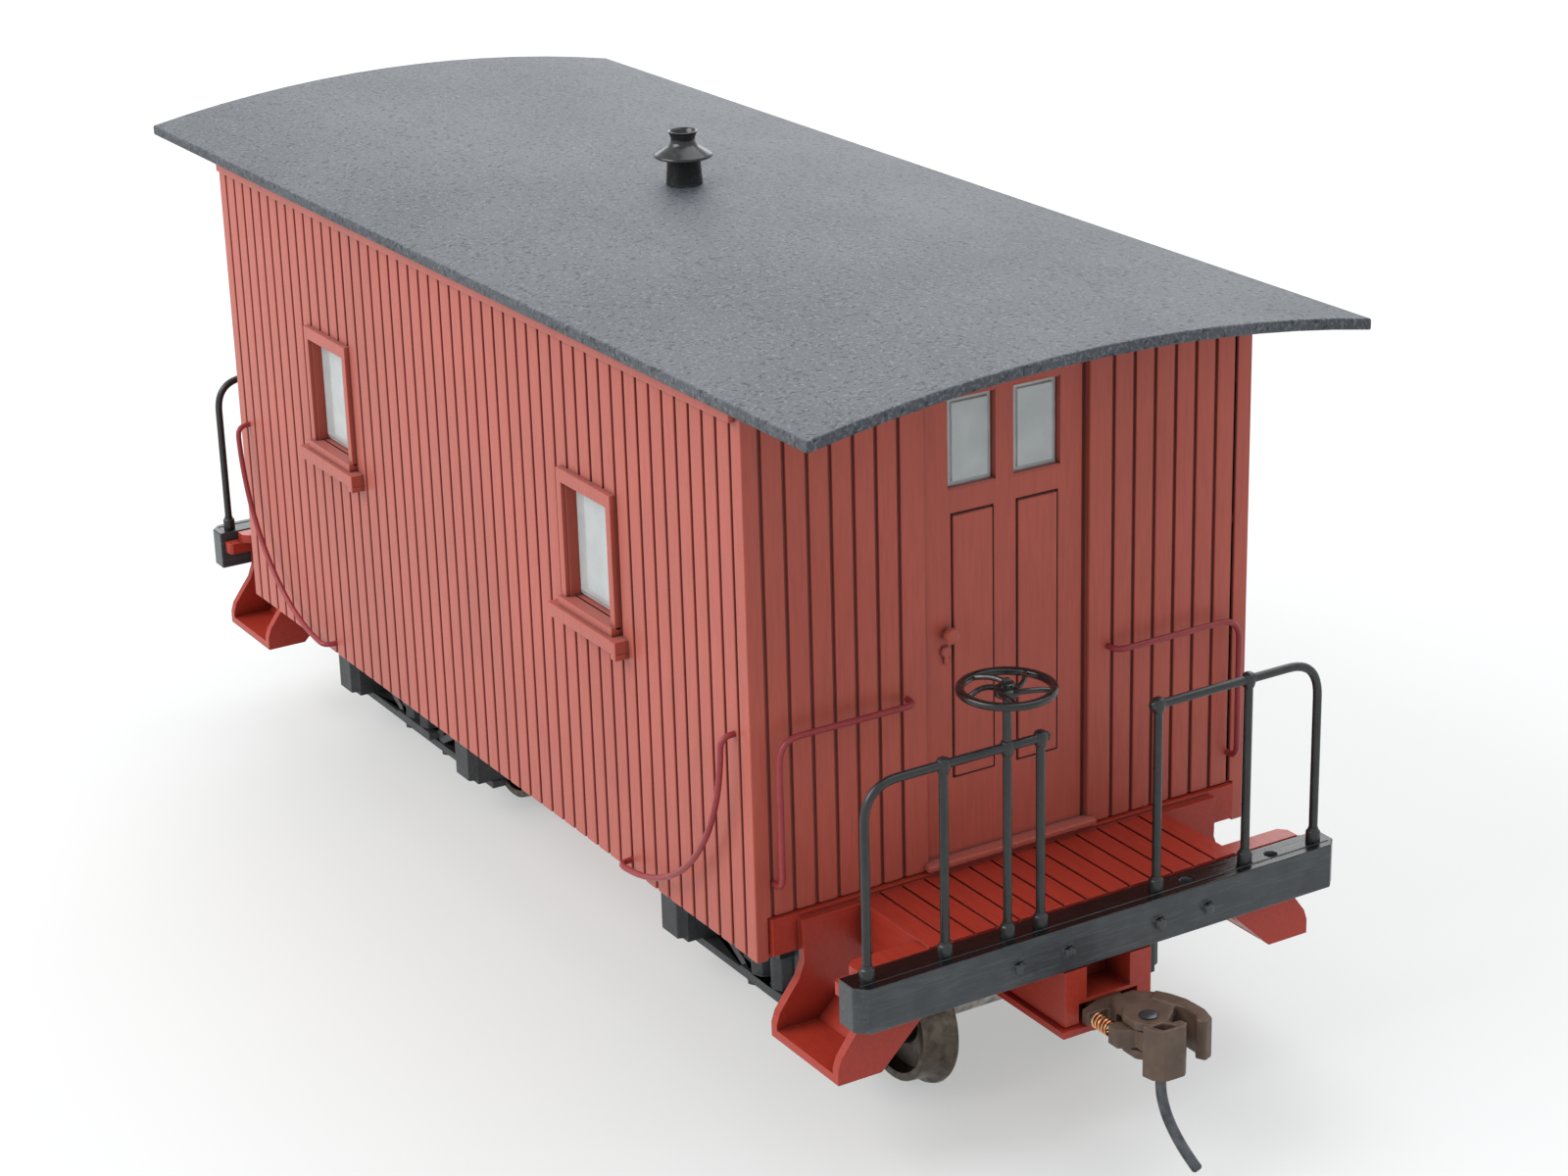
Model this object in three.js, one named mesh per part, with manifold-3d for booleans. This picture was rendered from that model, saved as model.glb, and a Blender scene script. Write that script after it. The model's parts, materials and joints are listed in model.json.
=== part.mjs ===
// Model caboose on two four-wheel trucks, in millimetres.
// +X runs along the car towards its front platform, +Z is up, z = 0 is the table the wheels stand on.
// The rear half of the car is the front half turned half a turn about Z.
import * as THREE from 'three';
import { mergeVertices } from 'three/addons/utils/BufferGeometryUtils.js';
import Module from 'manifold-3d';

const wasm = await Module();
wasm.setup();

// ---------- driving dimensions ----------
const PITCH = 1.95;             // width of one siding board
const BX = 47.4;                // half length of the body
const BY = 22.95;               // half width of the body
const ZB = 15.2;                // underside of the body above the table
const WALL = 1.5;               // body wall
const GROOVE = 0.32;            // width of a siding groove at the face
const GROOVE_D = 0.28;          // depth of a siding groove
const HEADER_Z = ZB + 3.4;      // top of the header board under the end wall
const DECK_Z = ZB + 3.1;        // top of the platform deck

const ROOF_X = 59.1;            // half length of the roof
const ROOF_Y = 24.6;            // half width of the roof
const EAVE_Z = ZB + 44.5;       // top of the roof at the eaves
const RISE = 2.3;               // rise of the roof arch
const ROOF_T = 0.9;             // roof thickness

const WIN_X = [23.7, -24.7];    // middles of the two windows in the right-hand side
const WIN_W = 7.2;
const WIN_Z0 = ZB + 20.9;
const WIN_Z1 = ZB + 30.5;

const DOOR_Y = 7.5;             // half width of the door recess
const DOOR_RECESS = 0.5;
const LIGHT_Y0 = 0.8;           // door light, nearest the middle
const LIGHT_Y1 = 5.1;
const LIGHT_Z0 = ZB + 33.6;
const LIGHT_Z1 = ZB + 40.8;

const BEAM_X0 = 57.6;           // end beam, inner and outer faces
const BEAM_X1 = 60.4;
const BEAM_Y = 22.2;
const BEAM_Z0 = ZB - 0.65;
const BEAM_Z1 = ZB + 3.0;
const POST_X = 59.0;            // line of the railing posts
const POSTS_Y = [5.4, 13.9, 20.6];
const STAFF_Y = 8.3;            // brake staff, and the spare hole for it
const RAIL_Z = ZB + 18.2;       // top rail
const ROD = 0.38;               // railing rod radius

const TRUCK_X = 32.5;           // truck pivot
const AXLE_X = 13.0;            // axle from the truck pivot
const FLANGE_R = 5.7;
const TREAD_R = 5.0;
const WHEEL_SEG = 20;
const AXLE_Z = FLANGE_R * Math.cos(Math.PI / WHEEL_SEG);
const BACK_Y = 7.25;            // inner face of a wheel
const BOLSTER_TOP = 13.3;
const BOSS_Z = 13.5;            // underside of the body's centre boss

const COUPLER_Z = ZB - 4.4;     // middle of the coupler shank
const SWING_X = 53.2;           // post the coupler swings on
const BOX_Z0 = ZB - 5.4;        // underside of the draft-gear box, on its lid
const BOX_X0 = 50.4;            // draft-gear box
const BOX_X1 = 60.3;
const BOX_Y = 4.0;
const KNUCKLE_X = 65.9;         // knuckle pivot
const KNUCKLE_Y = -0.5;

const WIRE = 0.25;              // grab-iron wire radius
const GAP = 0.1;                // clearance between fitted pieces

// ---------- solids ----------
function solid(geometry) {
  let g = geometry.clone();
  g.deleteAttribute('normal');
  g.deleteAttribute('uv');
  g = mergeVertices(g, 1e-4);
  const mesh = new wasm.Mesh({
    numProp: 3,
    vertProperties: new Float32Array(g.attributes.position.array),
    triVerts: new Uint32Array(g.index.array),
  });
  mesh.merge();
  return new wasm.Manifold(mesh);
}

function box(x0, x1, y0, y1, z0, z1) {
  const g = new THREE.BoxGeometry(x1 - x0, y1 - y0, z1 - z0);
  g.translate((x0 + x1) / 2, (y0 + y1) / 2, (z0 + z1) / 2);
  return solid(g);
}

function shapeOf(points) {
  return new THREE.Shape(points.map(([u, v]) => new THREE.Vector2(u, v)));
}

// A prism standing on a plan outline given as [x, y] points.
function prismZ(points, z0, z1, holes = []) {
  const s = shapeOf(points);
  for (const h of holes) s.holes.push(new THREE.Path(h.map(([u, v]) => new THREE.Vector2(u, v))));
  const g = new THREE.ExtrudeGeometry(s, { depth: z1 - z0, bevelEnabled: false, curveSegments: 1 });
  g.translate(0, 0, z0);
  return solid(g);
}

// A prism along X from an end outline given as [y, z] points.
function prismX(points, x0, x1) {
  return prismZ(points, x0, x1).transform([0, 1, 0, 0, 0, 0, 1, 0, 1, 0, 0, 0, 0, 0, 0, 1]);
}

// A prism along Y from a side outline given as [x, z] points.
function prismY(points, y0, y1) {
  return prismZ(points.map(([x, z]) => [z, x]), y0, y1)
    .transform([0, 0, 1, 0, 1, 0, 0, 0, 0, 1, 0, 0, 0, 0, 0, 1]);
}

// A turned shape about Z: closed outline of [radius, z] points.
function turned(points, seg = 16) {
  const ring = points.map(([r, z]) => new THREE.Vector2(r, z));
  ring.push(ring[0].clone());
  let m = solid(new THREE.LatheGeometry(ring, seg));
  if (m.volume() < 0) m = solid(new THREE.LatheGeometry(ring.reverse(), seg));
  return m.rotate([90, 0, 0]);
}

function rod(r, z0, z1, seg = 16, r1 = r) {
  const g = new THREE.CylinderGeometry(r1, r, z1 - z0, seg);
  g.rotateX(Math.PI / 2);
  g.translate(0, 0, (z0 + z1) / 2);
  return solid(g);
}

const alongX = (m) => m.rotate([0, 90, 0]);
const alongY = (m) => m.rotate([-90, 0, 0]);
const join = (list) => list.reduce((a, b) => a.add(b));
const mirrorY = (m) => m.mirror([0, 1, 0]);

// A round wire through the given points, its bends rounded to the radius.
function wire(points, r, bend = 1.2, sides = 6, steps = 2) {
  const p = points.map((q) => new THREE.Vector3(...q));
  const path = [p[0]];
  for (let i = 1; i < p.length - 1; i++) {
    const a = p[i - 1].clone().sub(p[i]);
    const b = p[i + 1].clone().sub(p[i]);
    const reach = Math.min(bend, a.length() * 0.45, b.length() * 0.45);
    const from = p[i].clone().addScaledVector(a.normalize(), reach);
    const to = p[i].clone().addScaledVector(b.normalize(), reach);
    for (let k = 0; k <= steps; k++) {
      const t = k / steps;
      const u = from.clone().lerp(p[i], t);
      const v = p[i].clone().lerp(to, t);
      path.push(u.lerp(v, t));
    }
  }
  path.push(p[p.length - 1]);
  return sweep(path, r, sides);
}

// Sweeps a round section along a list of points.
function sweep(path, r, sides) {
  const pos = [];
  const index = [];
  const n = path.length;
  let side = new THREE.Vector3();
  for (let i = 0; i < n; i++) {
    const back = path[i].clone().sub(path[Math.max(i - 1, 0)]).normalize();
    const ahead = path[Math.min(i + 1, n - 1)].clone().sub(path[i]).normalize();
    const t = back.add(ahead).normalize();
    if (i === 0) {
      side = Math.abs(t.z) < 0.8 ? new THREE.Vector3(0, 0, 1) : new THREE.Vector3(1, 0, 0);
    }
    side.addScaledVector(t, -side.dot(t)).normalize();
    const other = new THREE.Vector3().crossVectors(t, side);
    for (let k = 0; k < sides; k++) {
      const a = (2 * Math.PI * (k + 0.5)) / sides;
      const q = path[i].clone();
      q.addScaledVector(side, r * Math.cos(a)).addScaledVector(other, r * Math.sin(a));
      pos.push(q.x, q.y, q.z);
    }
  }
  for (let i = 0; i < n - 1; i++) {
    for (let k = 0; k < sides; k++) {
      const a = i * sides + k;
      const b = i * sides + ((k + 1) % sides);
      index.push(a, b, b + sides, a, b + sides, a + sides);
    }
  }
  for (let k = 1; k < sides - 1; k++) {
    index.push(0, k + 1, k);
    index.push((n - 1) * sides, (n - 1) * sides + k, (n - 1) * sides + k + 1);
  }
  const mesh = new wasm.Mesh({
    numProp: 3,
    vertProperties: new Float32Array(pos),
    triVerts: new Uint32Array(index),
  });
  return new wasm.Manifold(mesh);
}

// ---------- finished pieces ----------
const caboose = new THREE.Group();
caboose.name = 'model_caboose';

const FINISH = {
  body_red: { color: 0x8c3b30, roughness: 0.55, metalness: 0 },
  frame_red: { color: 0x8a2a1e, roughness: 0.45, metalness: 0 },
  wire_red: { color: 0x8e2230, roughness: 0.35, metalness: 0 },
  roof_black: { color: 0x2a2d31, roughness: 0.7, metalness: 0 },
  black: { color: 0x191b1c, roughness: 0.4, metalness: 0 },
  clear: { color: 0xdfe6ea, roughness: 0.1, metalness: 0 },
  steel: { color: 0x8f8a80, roughness: 0.4, metalness: 1 },
  wheel: { color: 0x6a5c50, roughness: 0.4, metalness: 1 },
  coupler_brown: { color: 0x5a4636, roughness: 0.5, metalness: 0 },
  copper: { color: 0xc87f4a, roughness: 0.3, metalness: 1 },
};

function piece(name, m, finish) {
  const { vertProperties, triVerts } = m.simplify(0.002).getMesh();
  const g = new THREE.BufferGeometry();
  g.setAttribute('position', new THREE.BufferAttribute(new Float32Array(vertProperties), 3));
  g.setIndex(new THREE.BufferAttribute(new Uint32Array(triVerts), 1));
  const mesh = new THREE.Mesh(g, new THREE.MeshStandardMaterial(FINISH[finish]));
  mesh.name = name;
  caboose.add(mesh);
}

// Adds a front piece and the same piece turned half a turn for the rear.
function bothEnds(name, m, finish) {
  piece(`${name}_front`, m, finish);
  piece(`${name}_rear`, m.rotate([0, 0, 180]), finish);
}

// ---------- body shell ----------
// Height of the roof arch above its eaves at a distance y from the middle.
const ARCH_R = (ROOF_Y ** 2 + RISE ** 2) / (2 * RISE);
const arch = (y) => Math.sqrt(ARCH_R ** 2 - y ** 2) - (ARCH_R - RISE);

function archOutline(halfY, z0, offset, steps = 14) {
  const top = [];
  for (let i = 0; i <= steps; i++) {
    const y = halfY - (2 * halfY * i) / steps;
    top.push([y, EAVE_Z + arch(y) + offset]);
  }
  return [[-halfY, z0], [halfY, z0], ...top];
}

// One wall line with V grooves, from one corner to the next, as [along, depth] points.
function groovedLine(half, grooves) {
  const line = [[-half, 0]];
  for (const g of grooves) {
    line.push([g - GROOVE / 2, 0], [g, GROOVE_D], [g + GROOVE / 2, 0]);
  }
  return line;
}

const sideGrooves = Array.from({ length: 48 }, (_, i) => (i - 23.5) * PITCH);
const endGrooves = [];
for (let i = 0; i < 7; i++) endGrooves.push(-21.43 + i * PITCH);
for (let i = 6; i >= 0; i--) endGrooves.push(21.43 - i * PITCH);

const outline = [];
for (const [a, d] of groovedLine(BX, sideGrooves)) outline.push([a, -BY + d]);
for (const [a, d] of groovedLine(BY, endGrooves)) outline.push([BX - d, a]);
for (const [a, d] of groovedLine(BX, sideGrooves)) outline.push([-a, BY - d]);
for (const [a, d] of groovedLine(BY, endGrooves)) outline.push([-BX + d, -a]);
const IX = BX - WALL;
const IY = BY - WALL;
const inside = [[-IX, -IY], [-IX, IY], [IX, IY], [IX, -IY]];

function sideWindow(x) {
  const w = WIN_W / 2;
  const y = -BY;
  const frame = box(x - w - 0.8, x + w + 0.8, y - 0.45, y + 0.5, WIN_Z0 - 0.2, WIN_Z1 + 1.1);
  const sill = box(x - w - 2.0, x + w + 2.0, y - 1.2, y + 0.5, WIN_Z0 - 1.9, WIN_Z0 - 0.7);
  const lug = box(x + w + 1.2, x + w + 2.0, y - 1.2, y + 0.5, WIN_Z0 - 2.3, WIN_Z0 - 1.8);
  const apron = box(x - w - 0.8, x + w + 0.8, y - 0.8, y + 0.5, WIN_Z0 - 0.8, WIN_Z0 - 0.1);
  const lip = box(x - w - 0.25, x + w + 0.25, y + 1.0, y + WALL + 1, WIN_Z0 - 0.25, WIN_Z1 + 0.25);
  const cut = box(x - w, x + w, y - 2, y + WALL + 1, WIN_Z0, WIN_Z1);
  return { add: join([frame, sill, lug, apron]), cut: cut.add(lip) };
}

// The end wall's door: recess, leaf edge groove, sunk lights and raised panels.
function doorCut() {
  const depth = BX - DOOR_RECESS;
  const recess = box(depth, BX + 1, -DOOR_Y, DOOR_Y, HEADER_Z + 0.55, EAVE_Z + 1);
  const edges = [-1, 1].map((s) => {
    const y = s * (DOOR_Y - 0.12);
    return box(depth - 0.35, BX, y - 0.12, y + 0.12, HEADER_Z + 0.55, EAVE_Z + 1);
  });
  const lights = [-1, 1].map((s) => {
    const y0 = s < 0 ? -LIGHT_Y1 : LIGHT_Y0;
    const y1 = s < 0 ? -LIGHT_Y0 : LIGHT_Y1;
    return box(IX - 1, BX + 1, y0, y1, LIGHT_Z0, LIGHT_Z1);
  });
  return join([recess, ...edges, ...lights]);
}

function doorDetail() {
  const face = BX - DOOR_RECESS;
  const parts = [];
  for (const s of [-1, 1]) {
    const y = (s * (LIGHT_Y0 + LIGHT_Y1)) / 2;
    const panel = new THREE.CylinderGeometry(Math.SQRT1_2, Math.SQRT1_2 * 1.1, 0.3, 4);
    panel.rotateY(Math.PI / 4);
    panel.scale(3.4, 1, 21.4);
    panel.rotateZ(-Math.PI / 2);
    panel.translate(face + 0.1, y, ZB + 21.1);
    parts.push(solid(panel));
  }
  const knob = alongX(turned([
    [0, 0], [0.35, 0], [0.35, 0.45], [0.62, 0.6], [0.62, 0.95], [0.3, 1.15], [0, 1.15],
  ], 10));
  parts.push(knob.translate([face - 0.05, -5.4, ZB + 22.4]));
  const plate = alongX(rod(0.42, 0, 0.3, 10));
  parts.push(plate.translate([face - 0.05, -5.5, ZB + 20.9]));
  parts.push(box(face - 0.05, face + 0.25, -5.68, -5.32, ZB + 20.0, ZB + 20.9));
  parts.push(box(BX - 0.6, BX + 0.7, -7.9, 7.9, HEADER_Z + 0.1, HEADER_Z + 0.6));
  return join(parts);
}

// Grab irons: the front right-hand pair, each with its ends let into the wall.
const SIDE_GRAB = [
  [45.2, 18.0], [44.6, 14.2], [41.8, 8.2], [37.4, 3.9], [32.6, 1.7], [28.2, 1.1],
];
const OUT = 1.25;               // how far the wire stands off the wall
const sideGrabPath = [
  [SIDE_GRAB[0][0], -BY + 0.95, ZB + SIDE_GRAB[0][1]],
  ...SIDE_GRAB.map(([x, z]) => [x, -BY - OUT, ZB + z]),
  [SIDE_GRAB[5][0], -BY + 0.95, ZB + SIDE_GRAB[5][1]],
];
const endGrabPath = [
  [BX - 0.95, -9.3, ZB + 18.2],
  [BX + OUT, -9.3, ZB + 18.2],
  [BX + OUT, -21.3, ZB + 18.2],
  [BX + OUT, -21.3, ZB + 6.2],
  [BX - 0.95, -21.3, ZB + 6.2],
];
const sideGrab = wire(sideGrabPath, WIRE, 1.1, 5);
const endGrab = wire(endGrabPath, WIRE, 1.3);
const grabHoles = [];
for (const [x, , z] of [sideGrabPath[0], sideGrabPath[7]]) {
  grabHoles.push(alongY(rod(WIRE + 0.07, -BY - 1, -BY + 1.05, 6)).translate([x, 0, z]));
}
for (const [, y, z] of [endGrabPath[0], endGrabPath[4]]) {
  grabHoles.push(alongX(rod(WIRE + 0.07, BX - 1.05, BX + 1, 6)).translate([0, y, z]));
}
const cornerHoles = join(grabHoles);

function bodyShell() {
  let shell = prismZ(outline, ZB, EAVE_Z + RISE, [inside]);
  const fascia = join([-1, 1].map((s) => {
    const y = s * (BY + 0.12);
    return box(-BX + 0.7, BX - 0.7, y - 0.4, y + 0.4, ZB + 42.3, EAVE_Z + RISE);
  }));
  shell = shell.add(fascia);
  const windows = WIN_X.map(sideWindow);
  for (const w of windows) {
    shell = shell.add(w.add).subtract(w.cut);
    shell = shell.add(w.add.rotate([0, 0, 180])).subtract(w.cut.rotate([0, 0, 180]));
  }
  const notch = box(IX - 1, BX + 1, -21.85, 21.85, ZB - 1, HEADER_Z + GAP);
  const door = doorCut();
  const detail = doorDetail();
  const nibs = [-28, 28].map((x) => box(x - 3.2, x + 3.2, -IY - 0.5, -IY + 1, ZB + 0.9, ZB + 1.8));
  for (const turn of [0, 180]) {
    shell = shell.subtract(notch.rotate([0, 0, turn]));
    shell = shell.subtract(door.rotate([0, 0, turn]));
    shell = shell.add(detail.rotate([0, 0, turn]));
    shell = shell.subtract(cornerHoles.rotate([0, 0, turn]));
    shell = shell.subtract(mirrorY(cornerHoles).rotate([0, 0, turn]));
    for (const n of nibs) shell = shell.subtract(n.rotate([0, 0, turn]));
  }
  return shell.intersect(prismX(archOutline(BY + 2, ZB - 1, -ROOF_T - GAP), -BX - 3, BX + 3));
}
piece('body_shell', bodyShell(), 'body_red');

const grabs = { left: mirrorY, right: (m) => m };
for (const [side, place] of Object.entries(grabs)) {
  bothEnds(`grab_iron_side_${side}`, place(sideGrab), 'wire_red');
  bothEnds(`grab_iron_end_${side}`, place(endGrab), 'wire_red');
}

// ---------- glazing ----------
// A clear moulding behind the wall with one bevelled pane standing in each opening.
function paneY(x) {
  const w = WIN_W / 2 - 0.12;
  const zc = (WIN_Z0 + WIN_Z1) / 2;
  const h = (WIN_Z1 - WIN_Z0) / 2 - 0.12;
  const y = -IY - 0.95;
  const block = box(x - w, x + w, y + 0.25, -IY + 0.3, zc - h, zc + h);
  const bevel = new THREE.CylinderGeometry(Math.SQRT1_2, Math.SQRT1_2, 0.5, 4);
  bevel.rotateY(Math.PI / 4);
  bevel.scale(2 * w - 0.9, 1, 2 * h - 0.9);
  bevel.translate(x, y + 0.25, zc);
  return block.add(solid(bevel));
}
const sideGlass = join([
  box(WIN_X[1] - 5.2, WIN_X[0] + 5.2, -IY + GAP, -IY + 0.9, WIN_Z0 - 1.2, WIN_Z1 + 1.2),
  ...WIN_X.map(paneY),
]);
piece('glazing_side_right', sideGlass, 'clear');
piece('glazing_side_left', sideGlass.rotate([0, 0, 180]), 'clear');

const doorPanes = [-1, 1].map((s) => {
  const y = (s * (LIGHT_Y0 + LIGHT_Y1)) / 2;
  const w = (LIGHT_Y1 - LIGHT_Y0) / 2 - 0.12;
  const low = LIGHT_Z0 + 0.12;
  const high = LIGHT_Z1 - 0.12;
  const block = box(IX - 0.3, IX + 0.55, y - w, y + w, low, high);
  return block.add(box(IX, IX + 0.8, y - w + 0.4, y + w - 0.4, low + 0.4, high - 0.4));
});
const doorGlass = join([box(IX - 0.9, IX - GAP, -6.6, 6.6, LIGHT_Z0 - 1.2, LIGHT_Z1 + 0.7), ...doorPanes]);
bothEnds('glazing_door', doorGlass, 'clear');

// ---------- roof and smokejack ----------
const ROOF_TOP = EAVE_Z + RISE;
function roof() {
  const lower = archOutline(ROOF_Y, EAVE_Z - 10, -ROOF_T);
  const skin = prismX(archOutline(ROOF_Y, EAVE_Z - 5, 0), -ROOF_X, ROOF_X)
    .subtract(prismX(lower, -ROOF_X - 1, ROOF_X + 1));
  const x = IX - 0.2;
  const y = IY - 0.2;
  let rim = box(-x, x, -y, y, EAVE_Z - 2.5, ROOF_TOP);
  rim = rim.subtract(box(-x + 0.9, x - 0.9, -y + 0.9, y - 0.9, 0, 99));
  rim = rim.intersect(prismX(archOutline(ROOF_Y, EAVE_Z - 5, -ROOF_T / 2), -BX, BX));
  return skin.add(rim).subtract(rod(1.2, 0, 99, 14));
}
piece('roof', roof(), 'roof_black');

// The smokejack's spigot drops through the roof.
const stack = turned([
  [0, ROOF_TOP - 2.2], [1.12, ROOF_TOP - 2.2], [1.12, ROOF_TOP + 0.1], [1.55, ROOF_TOP + 0.1],
  [1.4, ROOF_TOP + 2.25], [2.5, ROOF_TOP + 2.35], [2.5, ROOF_TOP + 2.55], [1.15, ROOF_TOP + 3.4],
  [1.05, ROOF_TOP + 3.6], [1.05, ROOF_TOP + 4.0], [1.25, ROOF_TOP + 4.55], [0.95, ROOF_TOP + 4.55],
  [0.8, ROOF_TOP + 3.4], [0, ROOF_TOP + 3.4],
], 14);
piece('smokejack', stack, 'black');

// ---------- underframe with both platforms ----------
function stepUnit() {
  const drop = [
    [-13.6, DECK_Z - 0.1], [-19.5, DECK_Z - 0.1], [-19.4, ZB - 0.4], [-19.9, ZB - 1.7],
    [-20.9, ZB - 3.0], [-21.7, ZB - 4.1], [-22.0, ZB - 5.0], [-22.0, ZB - 6.2],
    [-18.2, ZB - 6.2], [-13.6, ZB - 1.8],
  ];
  const inner = prismX(drop, 47.55, 48.35);
  const outer = prismX(drop, 56.2, 57.0);
  const tread = box(47.6, 56.9, -22.0, -18.2, ZB - 6.2, ZB - 5.5);
  const arm = prismZ([
    [55.6, -10], [55.6, -19.8], [56.2, -20.4], [57.4, -20.4], [57.4, -10],
  ], DECK_Z - 1.0, DECK_Z - 0.15);
  const ledge = prismZ([
    [56.2, -18], [56.2, -21.5], [56.5, -21.8], [57.4, -21.8], [57.4, -18],
  ], DECK_Z - 2.0, DECK_Z - 0.9);
  return join([inner, outer, tread, arm, ledge]);
}

function platform() {
  const planks = [];
  for (let i = -6; i <= 6; i++) planks.push(i * 2.03);
  let deck = box(47, 57.4, -14.2, 14.2, DECK_Z - 1.1, DECK_Z);
  for (const y of planks) deck = deck.subtract(box(47.5, 58, y - 0.11, y + 0.11, DECK_Z - 0.22, DECK_Z + 1));
  for (const y of [-13.7, 13.7]) deck = deck.add(box(47, 57.4, y - 0.5, y + 0.5, ZB - 0.6, DECK_Z));
  const header = box(IX - 0.3, BX + 0.35, -21.75, 21.75, ZB + 0.4, HEADER_Z);
  const sill = box(BX - 2, 57.3, -3.0, 3.0, ZB - 1.6, DECK_Z - 0.5);
  const block = box(BOX_X0, BOX_X1, -BOX_Y, BOX_Y, BOX_Z0, BEAM_Z0 - 0.15);
  const neck = box(BOX_X0, 57.3, -BOX_Y, BOX_Y, BEAM_Z0 - 0.5, DECK_Z - 0.5);
  let gear = block.add(neck);
  gear = gear.subtract(box(BOX_X1 - 3.2, BOX_X1 + 1, -2.0, 2.0, ZB - 3.5, BEAM_Z0 - 0.05));
  gear = gear.subtract(box(BOX_X0 + 0.6, BOX_X1 - 3.4, -2.95, 2.95, ZB - 6, COUPLER_Z + 0.62));
  gear = gear.subtract(box(BOX_X1 - 3.5, BOX_X1 + 1, -2.7, 2.7, ZB - 6, COUPLER_Z + 0.62));
  gear = gear.add(rod(1.15, COUPLER_Z - 0.6, COUPLER_Z + 1.2, 14).translate([SWING_X, 0, 0]));
  gear = gear.subtract(rod(0.62, COUPLER_Z - 2, COUPLER_Z + 2.2, 10).translate([SWING_X, 0, 0]));
  return join([deck, header, sill, gear, stepUnit(), mirrorY(stepUnit())]);
}

function underframe() {
  const floor = box(-IX + 0.1, IX - 0.1, -IY + 0.15, IY - 0.15, ZB + 0.3, ZB + 2.2);
  const centreSill = box(-26, 26, -2.6, 2.6, ZB - 1.7, ZB + 0.5);
  let frame = floor.add(centreSill);
  for (const turn of [0, 180]) {
    frame = frame.add(platform().rotate([0, 0, turn]));
    const boss = rod(3.6, BOSS_Z, ZB + 1, 18).add(rod(2.5, ZB + 1, ZB + 5.0, 14)).translate([TRUCK_X, 0, 0]);
    const brace = box(TRUCK_X - 2.2, TRUCK_X + 2.2, -15, 15, ZB - 0.7, ZB + 1);
    frame = frame.add(boss.rotate([0, 0, turn])).add(brace.rotate([0, 0, turn]));
    const pilot = rod(1.15, 0, ZB + 4.3, 12).translate([TRUCK_X, 0, 0]);
    frame = frame.subtract(pilot.rotate([0, 0, turn]));
    const stud = rod(1.2, ZB + 1, ZB + 6.3, 12).translate([20, 0, 0]);
    frame = frame.add(stud.rotate([0, 0, turn]));
    for (const x of [-28, 28]) {
      frame = frame.add(box(x - 3, x + 3, -IY - 0.25, -IY + 1, ZB + 1.0, ZB + 1.7).rotate([0, 0, turn]));
    }
  }
  return frame;
}
piece('underframe', underframe(), 'frame_red');

const weight = box(-27, 27, -13, 13, ZB + 2.3, ZB + 5.6)
  .subtract(rod(1.35, 0, 99, 12).translate([20, 0, 0]))
  .subtract(rod(1.35, 0, 99, 12).translate([-20, 0, 0]));
piece('ballast_weight', weight, 'steel');

// ---------- end beams, railings and brakes ----------
function endBeam() {
  const c = 0.9;
  const plan = [
    [BEAM_X0, -BEAM_Y], [BEAM_X1 - c, -BEAM_Y], [BEAM_X1, -BEAM_Y + c],
    [BEAM_X1, BEAM_Y - c], [BEAM_X1 - c, BEAM_Y], [BEAM_X0, BEAM_Y],
  ];
  let beam = prismZ(plan, BEAM_Z0, BEAM_Z1);
  for (const y of [-8.3, -3.8, 4.6, 9.2]) {
    const head = box(-0.42, 0.42, -0.42, 0.42, -0.1, 0.3).rotate([0, 0, 12]);
    beam = beam.add(alongX(head).translate([BEAM_X1, y, ZB + 1.05]));
  }
  for (const y of [-20.6, -13.9, -5.4, 5.4, 13.9, 20.6, 16.4]) {
    beam = beam.subtract(rod(0.5, BEAM_Z1 - 2.2, BEAM_Z1 + 1, 8).translate([POST_X, y, 0]));
  }
  for (const y of [-STAFF_Y, STAFF_Y]) {
    beam = beam.subtract(rod(0.55, BEAM_Z1 - 2.6, BEAM_Z1 + 1, 8).translate([POST_X, y, 0]));
  }
  return beam;
}
bothEnds('end_beam', endBeam(), 'black');

const BALL = [[0, -0.7], [0.55, -0.45], [0.7, 0], [0.55, 0.45], [0, 0.7]];
const COLLAR = [[0, 0.12], [0.8, 0.12], [0.8, 0.55], [0.5, 1.2], [0, 1.2]];

function post(y, top) {
  const shaft = rod(ROD, BEAM_Z1 - 2.0, top, 6).translate([POST_X, y, 0]);
  return shaft.add(turned(COLLAR, 6).translate([POST_X, y, BEAM_Z1]));
}

// A railing with a bent corner post, a middle post and an inner post; y grows towards the corner.
function railing() {
  const [inner, middle, corner] = POSTS_Y;
  const hoop = wire([
    [POST_X, inner - 0.75, RAIL_Z],
    [POST_X, corner, RAIL_Z],
    [POST_X, corner, BEAM_Z1 - 2.0],
  ], ROD, 3.0, 6, 4);
  const foot = turned(COLLAR, 6).translate([POST_X, corner, BEAM_Z1]);
  const parts = [hoop, foot, post(inner, RAIL_Z), post(middle, RAIL_Z)];
  for (const y of [inner, middle]) parts.push(turned(BALL, 6).translate([POST_X, y, RAIL_Z]));
  return join(parts);
}
const STAFF_TOP = ZB + 23.2;
function brakeStaff() {
  const staff = rod(0.38, BEAM_Z1 - 2.4, STAFF_TOP - 1.1, 8);
  const pin = rod(0.3, STAFF_TOP - 1.2, STAFF_TOP + 0.35, 8);
  const foot = turned(COLLAR, 6).translate([0, 0, BEAM_Z1]);
  const eye = turned(BALL, 6).translate([0, 0, RAIL_Z]);
  return join([staff, pin, foot, eye]).translate([POST_X, -STAFF_Y, 0]);
}
bothEnds('railing_left', railing(), 'black');
bothEnds('railing_right', mirrorY(railing()).add(brakeStaff()), 'black');

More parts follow.
